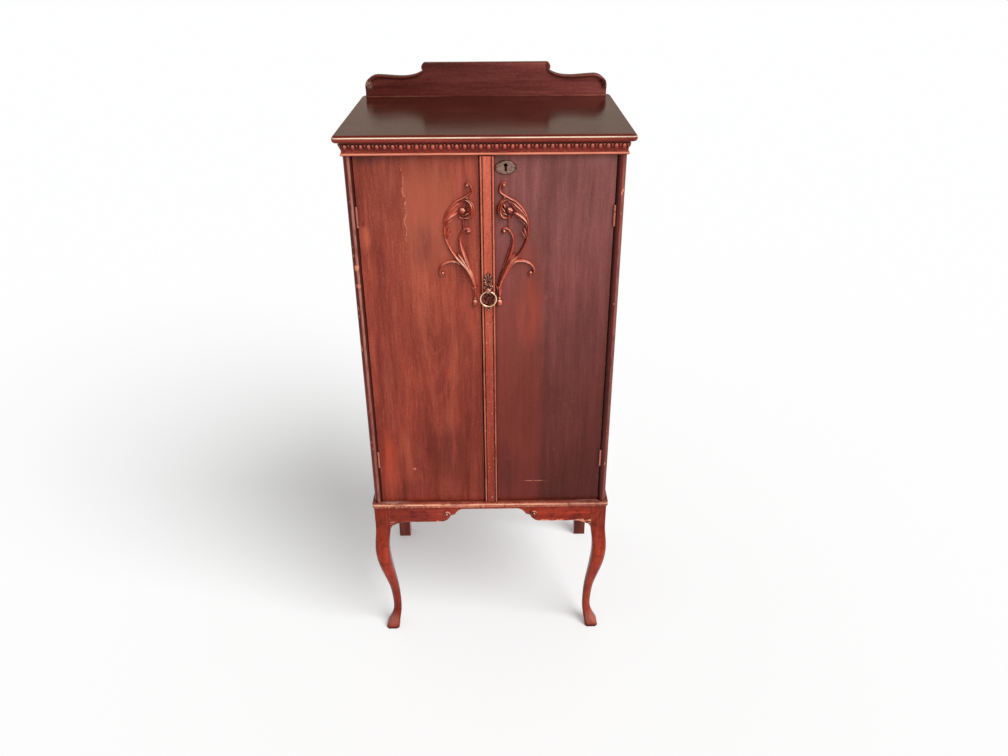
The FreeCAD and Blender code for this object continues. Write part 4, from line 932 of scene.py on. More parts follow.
# lock_case takes black iron, dark enough that the keyhole in front of it reads as a shaded hole: painted
# shade on a real part
finish_of.update({
    "top_board": top_finish, "gallery": gallery_finish, "frieze_front": frieze_finish,
    "frieze_left": frieze_finish, "frieze_right": frieze_finish, "frieze_back": frieze_finish,
    "base_board": base_finish, "door_left": left_door_finish, "door_right": right_door_finish,
    "apron_front": apron_finish, "apron_left": apron_finish, "apron_right": apron_finish,
    "apron_back": rear_leg_finish, "leg_front_left": leg_finish, "leg_front_right": leg_finish,
    "leg_rear_left": rear_leg_finish, "leg_rear_right": rear_leg_finish, "escutcheon": escutcheon_finish,
    "escutcheon_pins": escutcheon_finish, "pull_backplate": dish_finish, "pull_stud": plate_finish,
    "lock_case": lock_finish})
print("nodes with a finish", len(finish_of))

# %% Dress the CAD nodes
smoothed = ["top_board", "gallery", "frieze_front", "frieze_left", "frieze_right", "side_left", "side_right",
            "base_board", "astragal", "apron_front", "leg_front_left", "leg_front_right", "leg_rear_left",
            "leg_rear_right", "hinge_case_leaves", "hinge_leaves_left", "hinge_leaves_right", "pull_stud"]
smooth_limit = math.radians(32)
merge_distance = 1e-6
field_edge = top_level - 0.3 * mm


def hang(mesh, name, material, body, slot, *nodes):
    """Make a piece of a finished mesh, on a body, in place of the nodes named last, if any. The slot is not
    used.
    """
    mesh.name = name
    mesh.materials.clear()
    mesh.materials.append(material)
    piece = bpy.data.objects.new(name, mesh)
    bpy.context.scene.collection.objects.link(piece)
    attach(piece, body)
    if nodes:
        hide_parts(*nodes)
    return piece


def level_normals(mesh):
    """Keep broad faces flat in the light and let the narrow rounded ones take up the turn."""
    holder = bpy.data.objects.new("holder", mesh)
    bpy.context.scene.collection.objects.link(holder)
    modifier = holder.modifiers.new("level", "WEIGHTED_NORMAL")
    modifier.keep_sharp = True
    modifier.weight = 100
    graph = bpy.context.evaluated_depsgraph_get()
    levelled = bpy.data.meshes.new_from_object(holder.evaluated_get(graph))
    holder.modifiers.clear()
    bpy.data.objects.remove(holder)
    return levelled


def smooth_copy(node):
    """A merged and smoothly shaded copy of a CAD node, as a piece that stands for it."""
    source = frame["nodes"][node]
    mesh = source.data.copy()
    shape = bmesh.new()
    shape.from_mesh(mesh)
    bmesh.ops.remove_doubles(shape, verts=shape.verts, dist=merge_distance)
    for face in shape.faces:
        face.smooth = True
    shape.to_mesh(mesh)
    shape.free()
    mesh.set_sharp_from_angle(angle=smooth_limit)
    mesh = level_normals(mesh)
    return hang(mesh, node + "_finished", finish_of[node], source["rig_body"], slot_of[node], node)


pieces = {node: smooth_copy(node) for node in smoothed}
top_piece = pieces["top_board"].data
top_piece.materials.append(nosing_finish)
for face in top_piece.polygons:
    face.material_index = 0 if face.center.z > field_edge else 1
for node, finish in finish_of.items():
    if node not in smoothed:
        held = frame["nodes"][node].data.materials
        held.clear()
        held.append(finish)
print("smoothed", len(smoothed), "boards and dressed", len(finish_of) - len(smoothed))

# %% [markdown]
# ## Shells of carved wood
# Carved ornament is a set of overlapping rounded limbs and leaves. Sculpting them would not survive a
# change of size, and metaballs lose every crease. Instead each limb is a row of cross-sections skinned into
# a closed shell, and neighbours simply sink into each other, which leaves the sharp valleys a carver cuts.

# %% Shell helpers
crease_limit = math.radians(50)


class Shells:
    """Closed shells collected into one mesh."""

    def __init__(self):
        self.points = []
        self.faces = []

    def skin(self, rings, looped=False):
        """Skin a row of rings with equal point counts; open rows get end caps."""
        start = len(self.points)
        count = len(rings[0])
        for ring in rings:
            self.points.extend(ring)
        spans = len(rings) if looped else len(rings) - 1
        for span in range(spans):
            here = start + span * count
            there = start + (span + 1) % len(rings) * count
            for corner in range(count):
                after = (corner + 1) % count
                self.faces.append((here + corner, here + after, there + after, there + corner))
        if not looped:
            self.faces.append(tuple(range(start, start + count)))
            last = start + (len(rings) - 1) * count
            self.faces.append(tuple(range(last, last + count)))

    def lathe(self, face, centre, profile, corners=24, stretch=(1.0, 1.0), looped=False, flutes=0,
              depth=0.0):
        """Turn a profile of (radius, height) round a point of a face, fluted if asked."""
        rings = []
        for radius, height in profile:
            ring = []
            for corner in range(corners):
                angle = 2 * math.pi * corner / corners
                reach = radius * (1 - depth * (1 - math.cos(flutes * angle)) / 2)
                ring.append(face(centre[0] + reach * stretch[0] * math.cos(angle),
                                 centre[1] + reach * stretch[1] * math.sin(angle), height))
            rings.append(ring)
        self.skin(rings, looped)

    def ball(self, face, centre, radius, lift, corners=20):
        steps = 10
        profile = []
        for step in range(steps + 1):
            angle = math.pi * (step + 0.02) / (steps + 0.04)
            profile.append((radius * math.sin(angle), lift - radius * math.cos(angle)))
        self.lathe(face, centre, profile, corners)

    def mesh(self, name):
        """The shells as a mesh, with every face turned outwards."""
        mesh = bpy.data.meshes.new(name)
        mesh.from_pydata(self.points, [], self.faces)
        shape = bmesh.new()
        shape.from_mesh(mesh)
        bmesh.ops.recalc_face_normals(shape, faces=shape.faces)
        for face in shape.faces:
            face.smooth = True
        shape.to_mesh(mesh)
        shape.free()
        mesh.set_sharp_from_angle(angle=crease_limit)
        return mesh


def smooth_run(stations, per_span=8):
    """A curve through the stations; width and place are smoothed alike."""
    ends = [stations[0], *stations, stations[-1]]
    run = []
    for index in range(len(stations) - 1):
        before, here, there, beyond = (Vector(station) for station in ends[index:index + 4])
        for step in range(per_span):
            t = step / per_span
            bend = (2 * before - 5 * here + 4 * there - beyond) * t * t
            twist = (3 * here - before - 3 * there + beyond) * t ** 3
            run.append((2 * here + (there - before) * t + bend + twist) / 2)
    run.append(Vector(stations[-1]))
    return run


def carve(shells, face, stations, flutes=1, groove=0.18, relief=1.0, base=1.2, sink=0.4, peak=0.0):
    """A limb through stations of (out, up, half width), with flutes along it. Its section is round, and
    peak draws it towards a ridge."""
    section_steps = 14
    run = smooth_run(stations)
    rings = []
    for index, station in enumerate(run):
        before = run[max(index - 1, 0)]
        after = run[min(index + 1, len(run) - 1)]
        along = Vector((after.x - before.x, after.y - before.y)).normalized()
        half = station.z
        ring = []
        for step in range(section_steps + 1):
            side = 2 * step / section_steps - 1
            dome = (1 - peak) * math.sqrt(max(1 - side * side, 0.0)) + peak * (1 - abs(side))
            ripple = 1 - groove * (1 - math.cos(2 * math.pi * flutes * side)) / 2
            height = dome * ripple * (half * relief + base)
            ring.append(face(station.x + along.y * half * side, station.y - along.x * half * side, height))
        ring.append(face(station.x + along.y * half, station.y - along.x * half, -sink))
        ring.append(face(station.x - along.y * half, station.y + along.x * half, -sink))
        rings.append(ring)
    shells.skin(rings)


print("carving tools ready")

# %% [markdown]
# ## The carved scrolls
# A scroll grows up each door beside the cover strip: a drop and a husk at the foot, a sheathed stem that
# sends one tendril out and one in, then a long arm with acanthus leaves curling round a boss with a string
# of beads. They were carved in the solid and glued on. Each limb below is listed as the carver would draw
# it, by its middle line and width in millimetres, seen on the right-hand door; the left one is the same
# list mirrored.

# %% Scroll drawing
scroll_foot = door_high.z - 0.2685
stem = [
    (22.2, 30.0, 2.9), (24.6, 42.0, 3.8), (29.8, 55.5, 5.0), (36.5, 68.0, 5.3), (45.5, 79.0, 4.6),
    (53.0, 87.0, 3.2), (58.0, 94.0, 2.4), (63.0, 102.5, 2.1), (68.0, 113.0, 2.1), (71.6, 124.0, 2.2),
    (73.0, 134.0, 2.2), (73.2, 144.0, 2.1), (72.2, 157.0, 2.1), (68.2, 169.0, 2.1), (60.0, 181.0, 2.1),
    (51.6, 189.0, 2.1), (42.4, 194.4, 2.1), (35.0, 198.4, 2.1), (29.0, 202.4, 2.1), (24.6, 207.0, 2.0),
    (24.0, 212.0, 2.0), (25.6, 217.4, 1.9), (29.4, 221.6, 1.8), (33.4, 221.8, 1.6), (35.0, 218.8, 1.3)]
low_tendril = [
    (39.0, 70.5, 2.4), (48.3, 78.2, 2.9), (55.5, 80.4, 2.8), (65.0, 80.6, 2.6), (74.5, 77.4, 2.4),
    (81.2, 72.4, 2.3), (84.6, 65.0, 2.2), (83.4, 57.6, 2.1), (79.4, 54.0, 1.9), (75.4, 55.8, 1.7),
    (75.0, 59.8, 1.3)]
inner_tendril = [
    (34.5, 74.0, 3.6), (38.5, 86.0, 4.2), (42.0, 97.0, 4.1), (45.0, 108.0, 3.5), (46.6, 118.0, 2.8),
    (46.4, 126.0, 2.4), (44.2, 132.4, 2.2), (40.4, 138.0, 2.1), (35.2, 141.2, 2.1), (30.2, 140.0, 1.9),
    (27.8, 136.0, 1.6), (29.6, 132.6, 1.2)]
curled_leaf = [
    (43.0, 193.0, 1.2), (36.5, 192.6, 1.8), (30.6, 190.2, 2.9), (26.4, 184.8, 4.2), (24.6, 177.2, 4.9),
    (25.2, 169.2, 4.7), (28.2, 163.4, 3.9), (33.2, 160.4, 2.9), (38.6, 161.0, 1.4)]
curled_tips = [
    [(31.0, 185.5, 0.9), (32.6, 180.5, 1.6), (32.4, 175.0, 0.6)],
    [(29.0, 178.0, 0.9), (31.4, 173.6, 1.6), (33.4, 169.4, 0.6)],
    [(29.6, 170.0, 0.9), (33.4, 167.6, 1.5), (37.4, 165.4, 0.6)]]
boss_curl = [(48.6, 170.0, 0.9), (47.4, 164.8, 1.4), (44.0, 161.2, 1.5), (39.4, 159.4, 1.3)]
leaves = [
    [(73.0, 147.0, 1.8), (68.5, 155.5, 3.8), (61.5, 162.4, 4.4), (54.5, 167.2, 3.2), (48.4, 170.4, 0.9)],
    [(73.0, 142.0, 1.4), (67.4, 150.8, 2.2), (60.5, 156.2, 2.1), (54.2, 161.0, 0.7)],
    [(71.0, 159.0, 1.4), (66.0, 168.0, 2.6), (58.0, 177.0, 3.2), (50.0, 184.0, 2.8), (42.8, 189.6, 0.9)],
    [(37.0, 196.0, 1.0), (33.0, 196.6, 2.0), (28.6, 194.6, 0.6)],
    [(71.4, 123.0, 1.6), (69.0, 133.0, 2.8), (65.4, 144.0, 0.7)],
    [(70.6, 122.0, 1.4), (66.0, 129.4, 2.4), (61.6, 135.6, 0.7)]]
crescent = [
    (72.6, 138.0, 1.6), (70.4, 150.0, 3.6), (65.4, 162.0, 5.2), (57.6, 173.0, 5.2), (48.6, 182.4, 4.2),
    (40.0, 190.0, 2.8), (33.0, 195.0, 1.4)]
sheaths = [
    [(25.5, 46.0, 2.4), (31.5, 60.0, 3.6), (40.0, 72.0, 4.2), (48.5, 82.0, 3.9), (54.5, 88.5, 2.6),
     (59.0, 93.0, 0.9)],
    [(29.0, 58.0, 2.2), (36.0, 72.0, 3.6), (42.5, 83.0, 3.9), (48.0, 91.0, 2.6), (51.8, 96.4, 0.8)],
    [(28.0, 56.0, 2.2), (32.5, 70.0, 3.0), (35.5, 82.0, 2.6), (37.5, 92.0, 1.4), (38.6, 99.0, 0.6)],
    [(36.0, 66.0, 1.9), (46.0, 75.4, 2.8), (53.5, 79.4, 2.2), (59.5, 81.6, 0.7)]]
husk = [
    (22.2, 33.0, 3.4), (22.1, 29.0, 3.8), (22.0, 22.0, 3.6), (22.1, 16.5, 2.7), (22.2, 12.0, 1.9),
    (22.2, 5.0, 1.7)]
husk_tips = [[(21.4, 22.5, 1.4), (19.0, 29.0, 1.5), (17.2, 33.8, 0.6)],
             [(22.8, 22.5, 1.4), (25.2, 29.0, 1.5), (26.8, 33.8, 0.6)]]
scroll_balls = [(22.3, 9.4, 2.6), (31.6, 217.8, 2.9), (78.8, 58.8, 2.9), (31.4, 136.2, 2.9)]
drop_place = (22.2, 0.8)
drop_profile = [(4.4, -0.3), (5.0, 1.2), (5.1, 2.8), (4.5, 4.8), (3.1, 6.4), (1.4, 7.2), (0.1, 7.4)]
drop_stretch = (1.0, 1.32)
boss_place = (41.2, 173.6)
boss_profile = [(5.6, -0.3), (5.9, 2.2), (5.4, 4.4), (4.2, 6.2), (2.4, 7.4), (0.2, 7.8)]
bead_top = (40.2, 165.0)
bead_bottom = (39.7, 139.5)
bead_count = 10
bead_radius = 1.7
scroll_breadth = 1.22
print("the scroll is drawn with", len(leaves + sheaths + curled_tips + husk_tips), "leaves and tips")


# %% Carve the scrolls
def door_face(hand):
    def face(out, up, height):
        return Vector((hand * out * mm, door_low.y - height * mm, scroll_foot + up * mm))
    return face


def carve_scroll(hand):
    shells = Shells()
    face = door_face(hand)

    def limb(stations, groove, relief, base, flutes=1):
        carve(shells, face, [(out, up, half * scroll_breadth) for out, up, half in stations], flutes, groove,
              relief=relief, base=base, peak=0.4)

    limb(crescent, 0.2, 0.45, 1.2, 2)
    limb(stem, 0.1, 1.1, 1.6)
    limb(low_tendril, 0.3, 1.1, 1.4)
    limb(inner_tendril, 0.3, 1.1, 1.4)
    limb(curled_leaf, 0.5, 0.9, 2.2, 1.5)
    limb(boss_curl, 0.0, 1.0, 1.4)
    for tip in curled_tips:
        limb(tip, 0.0, 1.5, 3.2)
    for leaf in leaves:
        limb(leaf, 0.4, 1.05, 2.0)
    for leaf in sheaths:
        limb(leaf, 0.4, 1.25, 1.6)
    limb(husk, 0.3, 1.2, 1.4)
    for tip in husk_tips:
        limb(tip, 0.1, 1.6, 2.0)
    for out, up, radius in scroll_balls:
        shells.ball(face, (out, up), radius, radius * 0.8 + 0.6)
    shells.lathe(face, drop_place, drop_profile, stretch=drop_stretch)
    shells.lathe(face, boss_place, boss_profile, 36, flutes=6, depth=0.12)
    for bead in range(bead_count):
        share = bead / (bead_count - 1)
        middle = [a + (b - a) * share for a, b in zip(bead_top, bead_bottom)]
        shells.ball(face, middle, bead_radius * (1.1 - 0.3 * share), 1.4, 10)
    return shells.mesh("carved_scroll")


for side, hand in (("left", -1), ("right", 1)):
    scroll = hang(carve_scroll(hand), "scroll_" + side, carving_finish, "door_" + side, "carved_mahogany",
                  "applique_" + side)
    print(scroll.name, len(scroll.data.polygons), "faces")

# %% [markdown]
# ## Egg and dart
# The hollow under the top is carved with egg and dart: an egg in its shell, a dart, and again, right round
# the front and both sides. Copying by hand would be slow and a modifier array cannot turn a corner, so
# Geometry Nodes builds one unit and sets it along a line. The count comes from the length of the frieze.


# %% Geometry Nodes helpers
def size_tree(name, sizes):
    """An empty tree with one named input per size, and the identifiers those inputs are set by."""
    tree = bpy.data.node_groups.new(name, "GeometryNodeTree")
    tree.interface.new_socket("Geometry", in_out="OUTPUT", socket_type="NodeSocketGeometry")
    identifiers = {}
    for label, kind in sizes.items():
        socket = tree.interface.new_socket(label, in_out="INPUT", socket_type="NodeSocket" + kind)
        identifiers[label] = socket.identifier
    return tree, identifiers, add_node(tree, "NodeGroupInput").outputs


def close_tree(tree, geometry, material):
    """End a tree in Realize Instances and Set Material."""
    real = add_node(tree, "GeometryNodeRealizeInstances", {0: geometry}).outputs[0]
    smooth = add_node(tree, "GeometryNodeSetShadeSmooth", {0: real}).outputs[0]
    dressed = add_node(tree, "GeometryNodeSetMaterial", {0: smooth, "Material": material}).outputs[0]
    add_node(tree, "NodeGroupOutput", {0: dressed})


def grow(tree, identifiers, values, points=None):
    """Run the tree once with these sizes, on given points if it takes any, and keep the result as a mesh."""
    holder = bpy.data.objects.new("holder", points or bpy.data.meshes.new("holder"))
    bpy.context.scene.collection.objects.link(holder)
    modifier = holder.modifiers.new("grow", "NODES")
    modifier.node_group = tree
    for label, value in values.items():
        modifier[identifiers[label]] = value
    graph = bpy.context.evaluated_depsgraph_get()
    mesh = bpy.data.meshes.new_from_object(holder.evaluated_get(graph))
    holder.modifiers.clear()
    bpy.data.objects.remove(holder)
    return mesh


def combine(tree, x, y, z):
    return add_node(tree, "ShaderNodeCombineXYZ", {0: x, 1: y, 2: z}).outputs[0]


def transform(tree, geometry, move=(0, 0, 0), turn=(0, 0, 0), scale=(1, 1, 1)):
    inputs = {"Geometry": geometry, "Translation": move, "Rotation": turn, "Scale": scale}
    return add_node(tree, "GeometryNodeTransform", inputs).outputs[0]


print("growing tools ready")

# %% Egg and dart tree
egg_sizes = {"Start": "Vector", "Step": "Vector", "Count": "Int", "Turn": "Vector",
             "Egg Half Width": "Float", "Egg Half Height": "Float", "Relief": "Float", "Shell Gap": "Float",
             "Shell Round": "Float", "Dart Offset": "Float", "Dart Width": "Float", "Dart Length": "Float"}
egg_tree, egg_ids, egg_in = size_tree("egg_and_dart", egg_sizes)
egg_ball = add_node(egg_tree, "GeometryNodeMeshUVSphere", {
    "Segments": 12, "Rings": 8, "Radius": 1.0}).outputs[0]
egg_shape = transform(egg_tree, egg_ball, scale=combine(egg_tree, egg_in["Egg Half Width"], egg_in["Relief"],
                                                        egg_in["Egg Half Height"]))
shell_arc = add_node(egg_tree, "GeometryNodeCurveArc", {
    "Resolution": 14, "Radius": 1.0, "Start Angle": math.radians(125),
    "Sweep Angle": math.radians(290)}).outputs[0]
shell_halves = [add_node(egg_tree, "ShaderNodeMath", {0: egg_in[half], 1: egg_in["Shell Gap"]},
                         operation="ADD").outputs[0] for half in ("Egg Half Width", "Egg Half Height")]
shell_line = transform(egg_tree, shell_arc, scale=combine(egg_tree, *shell_halves, 1.0))
shell_line = transform(egg_tree, shell_line, turn=(math.radians(90), 0, 0))
shell_section = add_node(egg_tree, "GeometryNodeCurvePrimitiveCircle", {
    "Resolution": 6, "Radius": egg_in["Shell Round"]}).outputs[0]
shell_shape = add_node(egg_tree, "GeometryNodeCurveToMesh", {
    "Curve": shell_line, "Profile Curve": shell_section, "Fill Caps": True}).outputs[0]
dart_cone = add_node(egg_tree, "GeometryNodeMeshCone", {
    "Vertices": 6, "Radius Top": 0.25, "Radius Bottom": 1.0, "Depth": 1.0}).outputs[0]
dart_turned = transform(egg_tree, dart_cone, move=(0, 0, 0.5), turn=(math.radians(180), 0, 0))
dart_size = combine(egg_tree, egg_in["Dart Width"], egg_in["Relief"], egg_in["Dart Length"])
dart_shape = transform(egg_tree, dart_turned, move=combine(egg_tree, egg_in["Dart Offset"], 0.0, 0.0),
                       scale=dart_size)
unit = add_node(egg_tree, "GeometryNodeJoinGeometry")
for shape in (dart_shape, shell_shape, egg_shape):
    egg_tree.links.new(shape, unit.inputs[0])
egg_points = add_node(egg_tree, "GeometryNodeMeshLine", {
    "Count": egg_in["Count"], "Start Location": egg_in["Start"], "Offset": egg_in["Step"]}).outputs[0]
egg_turn = add_node(egg_tree, "FunctionNodeEulerToRotation", {0: egg_in["Turn"]}).outputs[0]
egg_row = add_node(egg_tree, "GeometryNodeInstanceOnPoints", {
    "Points": egg_points, "Instance": unit.outputs[0], "Rotation": egg_turn}).outputs[0]
close_tree(egg_tree, egg_row, egg_finish)
print("the egg and dart tree has", len(egg_tree.nodes), "nodes")

# %% Egg and dart rows
frieze_back_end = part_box("frieze_right")[1].y
egg_pitch = 13.3 * mm
hollow_stands_out = 1.5 * mm
hollow_lean = math.radians(12)
egg_values = {"Egg Half Width": 3.6 * mm, "Egg Half Height": 5.8 * mm, "Relief": 4.2 * mm,
              "Shell Gap": 1.7 * mm, "Shell Round": 0.8 * mm, "Dart Offset": egg_pitch / 2,
              "Dart Width": 1.4 * mm, "Dart Length": 11 * mm}


def egg_row_mesh(count, start, step, turn):
    values = dict(egg_values, Count=count, Start=start, Step=step, Turn=turn)
    return grow(egg_tree, egg_ids, values)


front_count = int(2 * case_half / egg_pitch)
front_start = (-(front_count - 1) / 2 * egg_pitch, case_front - hollow_stands_out, egg_level)
front_mesh = egg_row_mesh(front_count, front_start, (egg_pitch, 0, 0), (hollow_lean, 0, 0))
hang(front_mesh, "egg_and_dart_front", egg_finish, "case", "mahogany")
side_count = int((frieze_back_end - case_front) / egg_pitch)
for side, hand in (("left", -1), ("right", 1)):
    start = (hand * (case_half + hollow_stands_out), case_front + egg_pitch / 2, egg_level)
    mesh = egg_row_mesh(side_count, start, (0, egg_pitch, 0), (hollow_lean, 0, hand * math.radians(90)))
    hang(mesh, "egg_and_dart_" + side, egg_finish, "case", "mahogany")
print("eggs on the front", front_count, "and on each side", side_count)

# %% [markdown]
# ## The gallery's leaves and the apron's volutes
# Each wing of the gallery ends in a small curled leaf, and the apron has a volute where its arch begins.
# They were carved in the board, so they stand only a little proud of it. The same limb tool makes them; a
# spiral's middle line comes from a formula.

# %% Small carvings
def board_face(hand, front):
    def face(out, up, height):
        return Vector((hand * out * mm, front - height * mm, up * mm))
    return face


def spiral(centre, radius, turns, width, start_angle, sense=1, steps=16, closing=0.8, taper=0.45):
    """Stations of a scroll that winds in towards its centre and grows thinner."""
    stations = []
    for step in range(steps + 1):
        share = step / steps
        angle = start_angle + sense * 2 * math.pi * turns * share
        reach = radius * (1 - closing * share)
        stations.append((centre[0] + reach * math.cos(angle), centre[1] + reach * math.sin(angle),
                         width * (1 - taper * share)))
    return stations


gallery_foot = gallery_low.z / mm
gallery_end = gallery_high.x / mm
wing_rim = [
    (-115.2, 47.0, 1.5), (-105.5, 42.0, 2.1), (-92.0, 38.4, 2.1), (-72.0, 36.8, 2.1), (-50.0, 37.8, 2.1),
    (-28.0, 39.3, 2.4), (-16.5, 36.8, 2.8), (-8.5, 31.8, 3.2), (-3.9, 25.0, 3.2), (-4.0, 18.8, 2.5),
    (-6.8, 16.2, 1.2)]
leaf_fingers = [
    [(-15.5, 33.5, 0.8), (-12.6, 28.5, 1.3), (-12.6, 23.0, 0.6)],
    [(-11.5, 29.5, 0.8), (-9.4, 25.0, 1.2), (-9.6, 20.0, 0.6)],
    [(-18.5, 35.4, 0.8), (-16.0, 31.5, 1.1), (-15.8, 27.0, 0.5)]]
apron_bracket = [
    (193.0, 306.5, 1.5), (202.0, 304.0, 4.0), (209.0, 298.0, 5.4), (213.5, 289.0, 4.0), (215.0, 281.0, 1.4)]
apron_leaf = [
    [(214.0, 304.0, 0.8), (206.0, 304.5, 1.2), (198.5, 306.0, 0.5)],
    [(214.5, 297.5, 0.8), (208.5, 298.5, 1.3), (202.0, 301.5, 0.5)],
    [(215.0, 290.5, 0.7), (211.0, 292.0, 1.1), (206.5, 295.5, 0.5)]]
gallery_shells = Shells()
apron_shells = Shells()
bracket_shells = Shells()
volute_place = (91.5, 326.0)
for hand in (-1, 1):
    face = board_face(hand, gallery_low.y)
    rim = [(gallery_end + out, gallery_foot + up, half) for out, up, half in wing_rim]
    carve(gallery_shells, face, rim, relief=0.5, base=0.6)
    face = board_face(hand, gallery_low.y + 2 * mm)
    for finger in leaf_fingers:
        stations = [(gallery_end + out, gallery_foot + up, half) for out, up, half in finger]
        carve(gallery_shells, face, stations, relief=1.0, base=0.8)
    face = board_face(hand, apron_low.y)
    volute = spiral(volute_place, 7.2, 1.25, 2.2, math.radians(200), -1)
    carve(apron_shells, face, volute, relief=1.3, base=1.8)
    apron_shells.ball(face, volute_place, 2.8, 2.6)
    face = board_face(hand, apron_low.y + bracket_set_back)
    carve(bracket_shells, face, apron_bracket, relief=0.5, base=1.5, sink=6.0)
    for finger in apron_leaf:
        carve(bracket_shells, face, finger, relief=1.4, base=4.2, sink=0.5)
hang(gallery_shells.mesh("gallery_leaves"), "gallery_leaves", gallery_finish, "case", "mahogany")
hang(apron_shells.mesh("apron_volutes"), "apron_volutes", apron_carving_finish, "case", "mahogany")
hang(bracket_shells.mesh("apron_brackets"), "apron_brackets", bracket_finish, "case", "mahogany")
print("gallery and apron carved")

# %% [markdown]
# ## The ring pull
# A cast plate with a palmette, two volutes and a dished rose carries a plain brass ring. Cast plates
# like this are thin, with ornament about a millimetre high. The ring is turned from its section, and the
# plate is built up from a backing, a lathed dish and small carved lobes.

# %% Ring
ring_low, ring_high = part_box("pull_ring")
plate_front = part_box("pull_backplate")[0].y
ring_middle = (ring_low + ring_high) / 2
ring_wire = (ring_high.y - ring_low.y) / 2
ring_radius = (ring_high.x - ring_low.x) / 2 - ring_wire
ring_steps = 96
wire_steps = 18
ring_rings = []
for step in range(ring_steps):
    angle = 2 * math.pi * step / ring_steps
    ring = []
    for corner in range(wire_steps):
        turn = 2 * math.pi * corner / wire_steps
        reach = ring_radius + ring_wire * math.cos(turn)
        ring.append(ring_middle + Vector((reach * math.cos(angle), ring_wire * math.sin(turn),
                                          reach * math.sin(angle))))
    ring_rings.append(ring)
ring_shells = Shells()
ring_shells.skin(ring_rings, looped=True)
hang(ring_shells.mesh("ring"), "pull_ring_round", ring_finish, "pull_ring", "bright_brass", "pull_ring")
print("ring", round(2 * ring_radius / mm, 1), "mm across, wire", round(2 * ring_wire / mm, 1))

# %% Plate
stud_low, stud_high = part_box("pull_stud")
pull_level = (stud_low.z + stud_high.z) / 2
palmette_root = 13.0
palmette_lobes = [(0, 21.4), (16, 17.8), (33, 12.6), (54, 8.4), (82, 5.6)]
hood_profile = [(7.4, -1.4), (7.6, 1.6), (7.3, 3.6), (6.2, 5.8), (4.4, 7.6), (2.2, 8.6), (0.2, 8.8)]
hood_flutes = 12
dish_profile = [
    (11.4, -1.4), (11.4, 0.5), (10.8, 1.1), (10.0, 1.0), (9.3, 0.25), (4.4, 0.2), (3.6, 0.8), (2.6, 1.0),
    (2.0, 0.6), (1.2, 1.3), (0.1, 1.6)]
petal_count = 8


def plate_face(out, up, height):
    return Vector((strip_middle + out * mm, plate_front - height * mm, pull_level + up * mm))


plate_shells = Shells()
for lean, reach in palmette_lobes:
    for hand in ((1, -1) if lean else (1,)):
        ray = (hand * math.sin(math.radians(lean)), math.cos(math.radians(lean)))
        lobe = [(ray[0] * reach * share, palmette_root + ray[1] * reach * share, half)
                for share, half in ((0.15, 0.4), (0.5, 0.8), (0.8, 1.45), (0.93, 1.3), (1.0, 0.6))]
        carve(plate_shells, plate_face, lobe, relief=1.2, base=0.4, sink=1.4)
for hand in (-1, 1):
    neck = [(hand * 1.4, palmette_root + 3, 0.9), (hand * 2.4, 11.0, 1.2), (hand * 4.6, 8.6, 1.2)]
    carve(plate_shells, plate_face, neck, relief=1.0, base=0.5, sink=1.4)
    volute = spiral((hand * 6.4, 7.4), 2.5, 1.3, 1.0, math.radians(90), -hand)
    carve(plate_shells, plate_face, volute, relief=1.2, base=0.4, sink=1.4)
    foot = [(hand * 4.8, -29.5, 0.8), (hand * 3.8, -32.6, 1.5), (hand * 1.4, -35.4, 0.8)]
    carve(plate_shells, plate_face, foot, relief=1.0, base=0.4, sink=1.4)
plate_shells.lathe(plate_face, (0, 2.6), hood_profile, hood_flutes * 6, (1.0, 0.82), flutes=hood_flutes,
                   depth=0.16)
plate_shells.ball(plate_face, (0, -36.4), 1.9, 0.2)
dish_place = (0, (ring_middle.z - pull_level) / mm)
dish_shells = Shells()
dish_shells.lathe(plate_face, dish_place, dish_profile, 48)
for petal in range(petal_count):
    angle = 2 * math.pi * petal / petal_count
    ray = (math.cos(angle), math.sin(angle))
    stations = [(dish_place[0] + ray[0] * reach, dish_place[1] + ray[1] * reach, half)
                for reach, half in ((3.6, 0.5), (5.8, 1.5), (8.0, 1.4), (9.6, 0.5))]
    carve(dish_shells, plate_face, stations, flutes=2, groove=0.5, relief=0.6, base=0.4)
hang(dish_shells.mesh("pull_dish"), "pull_dish", dish_finish, "door_right", "aged_brass")
hang(plate_shells.mesh("pull_ornament"), "pull_ornament", plate_finish, "door_right", "aged_brass")
print("plate ornament", len(plate_shells.faces), "faces")

# %% [markdown]
# ## The keyhole plate
# A small oval of stamped brass guards the keyhole under the frieze. It is domed, with a rolled rim and a
# pin at each end. It could be cut from a flat with a boolean, but a row of loops that run from the keyhole
# out to the oval gives clean faces and a hole that really goes through to the lock.

# %% Keyhole plate
oval_low, oval_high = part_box("escutcheon")
oval_middle = (oval_low + oval_high) / 2
oval_half = ((oval_high.x - oval_low.x) / 2, (oval_high.z - oval_low.z) / 2)
key_level = 1.0525
key_radius = 3.6 * mm
key_slot_half = 2.2 * mm
key_slot_drop = 10.4 * mm
pin_inset = 3.4 * mm
loop_corners = 72
plate_section = [
    (0.0, 0.0), (0.0, 1.6), (0.12, 2.0), (0.45, 1.9), (0.75, 1.5), (0.86, 1.1), (0.91, 0.7), (0.91, 0.0)]
rim_section = [
    (0.88, 0.0), (0.88, 0.3 * mm), (0.92, 1.2 * mm), (0.97, 1.3 * mm), (1.0, 0.6 * mm), (1.0, 0.0)]


def oval_reach(angle):
    return 1 / math.hypot(math.cos(angle) / oval_half[0], math.sin(angle) / oval_half[1])


